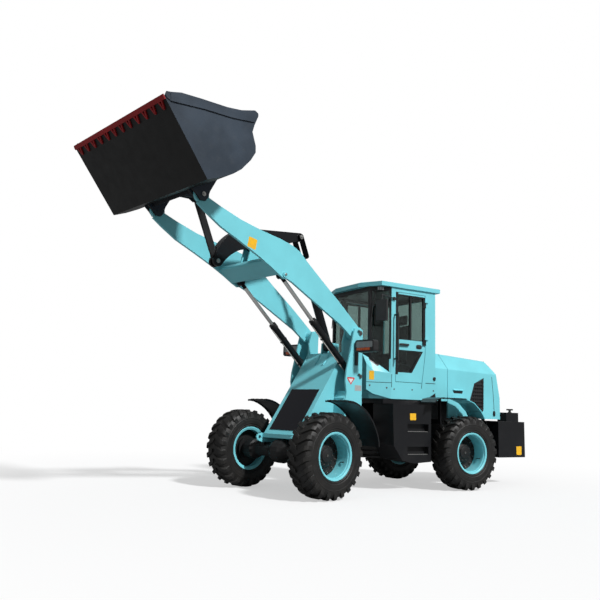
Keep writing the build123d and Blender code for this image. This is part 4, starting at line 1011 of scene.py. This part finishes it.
bm = bmesh.new()
add_prism(bm, rounded(0.700, 0.250, 0.020), 0.004, hood_back(0, 1.355))
for index in range(7):
    slat = Matrix.Translation((HOOD_BACK - 0.003, -0.330, 1.465 - index * 0.033)) @ PROFILE
    add_prism(bm, [(0, 0), (-0.014, -0.006), (-0.014, -0.010), (0, -0.016)], 0.660, slat)
piece("hood_outlet", bm, seal, "hood")
for side, label in SIDES:
    for part, outline, depth, z, coat in (
            ("case", rounded(0.110, 0.200, 0.022), 0.010, 1.355, trim),
            ("red", rounded(0.090, 0.106, 0.014), 0.014, 1.391, red_lens),
            ("amber", rounded(0.090, 0.060, 0.014), 0.014, 1.298, amber_lens)):
        plate_piece("tail_lamp_" + part + "_" + label, outline, depth,
                    hood_back(side * 0.470, z), coat, "hood")


# ---- seat
SEAT = FLOOR + 0.150  # the cushions sit this much above the CAD's, as in the photo
FOLDS, FOLD = 9, 0.0447  # of the bellows under the seat, and the height of each
# A backrest stands on its lower edge and leans back.
UPRIGHT = (Matrix.Rotation(radians(-8), 4, "Y") @ Matrix.Rotation(pi / 2, 4, "Y")
           @ Matrix.Rotation(pi, 4, "X"))


def make_cushion(name, size, crown, channels, place):
    """A crowned pad: its sides pull in between the corners and its face is sewn in channels."""
    width, length, depth = size
    steps = 28

    def skin(u, v, top):
        pull = 1 - 0.035 * ((1 - u * u) * abs(v) ** 6 + (1 - v * v) * abs(u) ** 6)
        edge = max(0.0, 1 - max(abs(u), abs(v)) ** 7)
        height = depth / 2
        if top:
            from_middle = abs(((v * 0.5 + 0.5) * channels) % 1 - 0.5)
            height += crown * (1 - u * u) * (1 - v * v)
            height -= 0.010 * max(0.0, 14 * from_middle - 6)
        height *= edge ** 0.42
        return Vector((u * width / 2 * pull, v * length / 2 * pull, height if top else -height))

    bm = bmesh.new()
    shares = [2 * step / steps - 1 for step in range(steps + 1)]
    for top in (True, False):
        rows = [[bm.verts.new(place @ skin(u, v, top)) for v in shares] for u in shares]
        for row, after in zip(rows, rows[1:]):
            for j in range(steps):
                bm.faces.new((row[j], after[j], after[j + 1], row[j + 1]))
    made = piece(name, bm, cover, "rear_frame", smooth=60.0)
    subdivide = made.modifiers.new("round", "SUBSURF")
    subdivide.render_levels = 1


make_cushion("seat_cushion", (0.480, 0.480, 0.110), 0.018, 5,
             Matrix.Translation((-0.760, 0, SEAT + 0.360)))
make_cushion("seat_back", (0.680, 0.460, 0.085), 0.016, 4,
             Matrix.Translation((-0.945, 0, SEAT + 0.765)) @ UPRIGHT)
make_cushion("head_rest", (0.170, 0.250, 0.080), 0.010, 1,
             Matrix.Translation((-1.005, 0, SEAT + 1.190)) @ UPRIGHT)
bm = bmesh.new()
for index in range(FOLDS):
    inset = 0.012 * (index % 2)
    low = FLOOR + 0.050 + index * FOLD
    add_box(bm, (-0.925 + inset, -0.175 + inset, low), (-0.600 - inset, 0.175 - inset, low + FOLD))
add_box(bm, (-0.935, -0.190, FLOOR), (-0.590, 0.190, FLOOR + 0.052))
add_box(bm, (-0.960, -0.215, SEAT + 0.296), (-0.560, 0.215, SEAT + 0.316))
for y in (-0.05, 0.05):
    add_rod(bm, (-0.990, y, SEAT + 1.050), (-1.002, y, SEAT + 1.150), 0.008, 12)
seat_base = piece("seat_base", bm, vinyl, "rear_frame")
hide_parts("seat")


# ---- floor, light and camera
def directly_seen(tree):
    """1 for rays from the camera or through glass, 0 for those that light the machine."""
    path = add_node(tree, "LightPath").outputs
    return Field(tree, path["Is Camera Ray"]) | Field(tree, path["Is Transmission Ray"])


def floor_material():
    """A pale floor that keeps shadows near the machine and runs out into white."""
    material = bpy.data.materials.new("floor")
    material.use_nodes = True
    tree = material.node_tree
    shader = tree.nodes["Principled BSDF"]
    shader.inputs["Roughness"].default_value = 0.9
    shader.inputs["Specular IOR Level"].default_value = 0.1
    glow = add_node(tree, "Emission", Color=(1, 1, 1, 1))
    distance = add_node(tree, "VectorMath", Vector=add_node(tree, "TexCoord").outputs["Object"])
    distance.operation = "LENGTH"
    seen = directly_seen(tree)
    feed(tree, colour_mix(tree, seen, (0.28, 0.285, 0.29), (0.86, 0.865, 0.87)),
         shader.inputs["Base Color"])
    share = (Field(tree, distance.outputs["Value"]).span(3.0, 10.0) * 0.5 + 0.5) * seen
    mix = add_node(tree, "MixShader", Fac=share)
    feed(tree, shader.outputs[0], mix.inputs[1])
    feed(tree, glow.outputs[0], mix.inputs[2])
    feed(tree, mix.outputs[0], tree.nodes["Material Output"].inputs["Surface"])
    return material


bm = bmesh.new()
bmesh.ops.create_circle(bm, cap_ends=True, segments=96, radius=90.0)
floor_mesh = bpy.data.meshes.new("floor")
bm.to_mesh(floor_mesh)
bm.free()
floor_mesh.materials.append(floor_material())
floor = add_object("floor", floor_mesh)
floor.location.z = -0.001

AMBIENT = 0.26  # strength of the white surroundings where they only light
scene.view_settings.view_transform = "Standard"
world = bpy.data.worlds.new("studio")
scene.world = world
world.use_nodes = True
background = world.node_tree.nodes["Background"]
background.inputs["Color"].default_value = (1, 1, 1, 1)
feed(world.node_tree, directly_seen(world.node_tree) * (1 - AMBIENT) + AMBIENT,
     background.inputs["Strength"])


def direction(azimuth, elevation):
    a, e = radians(azimuth), radians(elevation)
    return Vector((cos(a) * cos(e), sin(a) * cos(e), sin(e)))


def sun(name, azimuth, elevation, energy, spread):
    """A soft sun that shines from a direction in the row's frame, in degrees."""
    light = bpy.data.lights.new(name, "SUN")
    light.energy = energy
    light.angle = radians(spread)
    lamp = add_object(name, light)
    lamp.rotation_euler = direction(azimuth, elevation).to_track_quat("Z", "Y").to_euler()


sun("key", 104, 42, 3.7, 6)
sun("fill", 20, 30, 0.20, 40)

CAMERA_AT = Vector((6.4734, 9.0298, 1.2049))
ROLL = radians(1.7885)
camera_data = bpy.data.cameras.new("camera")
camera_data.lens = 39.887
camera_data.clip_end = 200.0
camera = add_object("camera", camera_data)
back = direction(59.2103, -9.3225)
level_x = Vector(UP).cross(back).normalized()
level_y = back.cross(level_x)
camera_x = level_x * cos(ROLL) + level_y * sin(ROLL)
camera_y = level_y * cos(ROLL) - level_x * sin(ROLL)
camera.matrix_world = (Matrix.Translation(origin + CAMERA_AT)
                       @ Matrix((camera_x, camera_y, back)).transposed().to_4x4())
scene.camera = camera
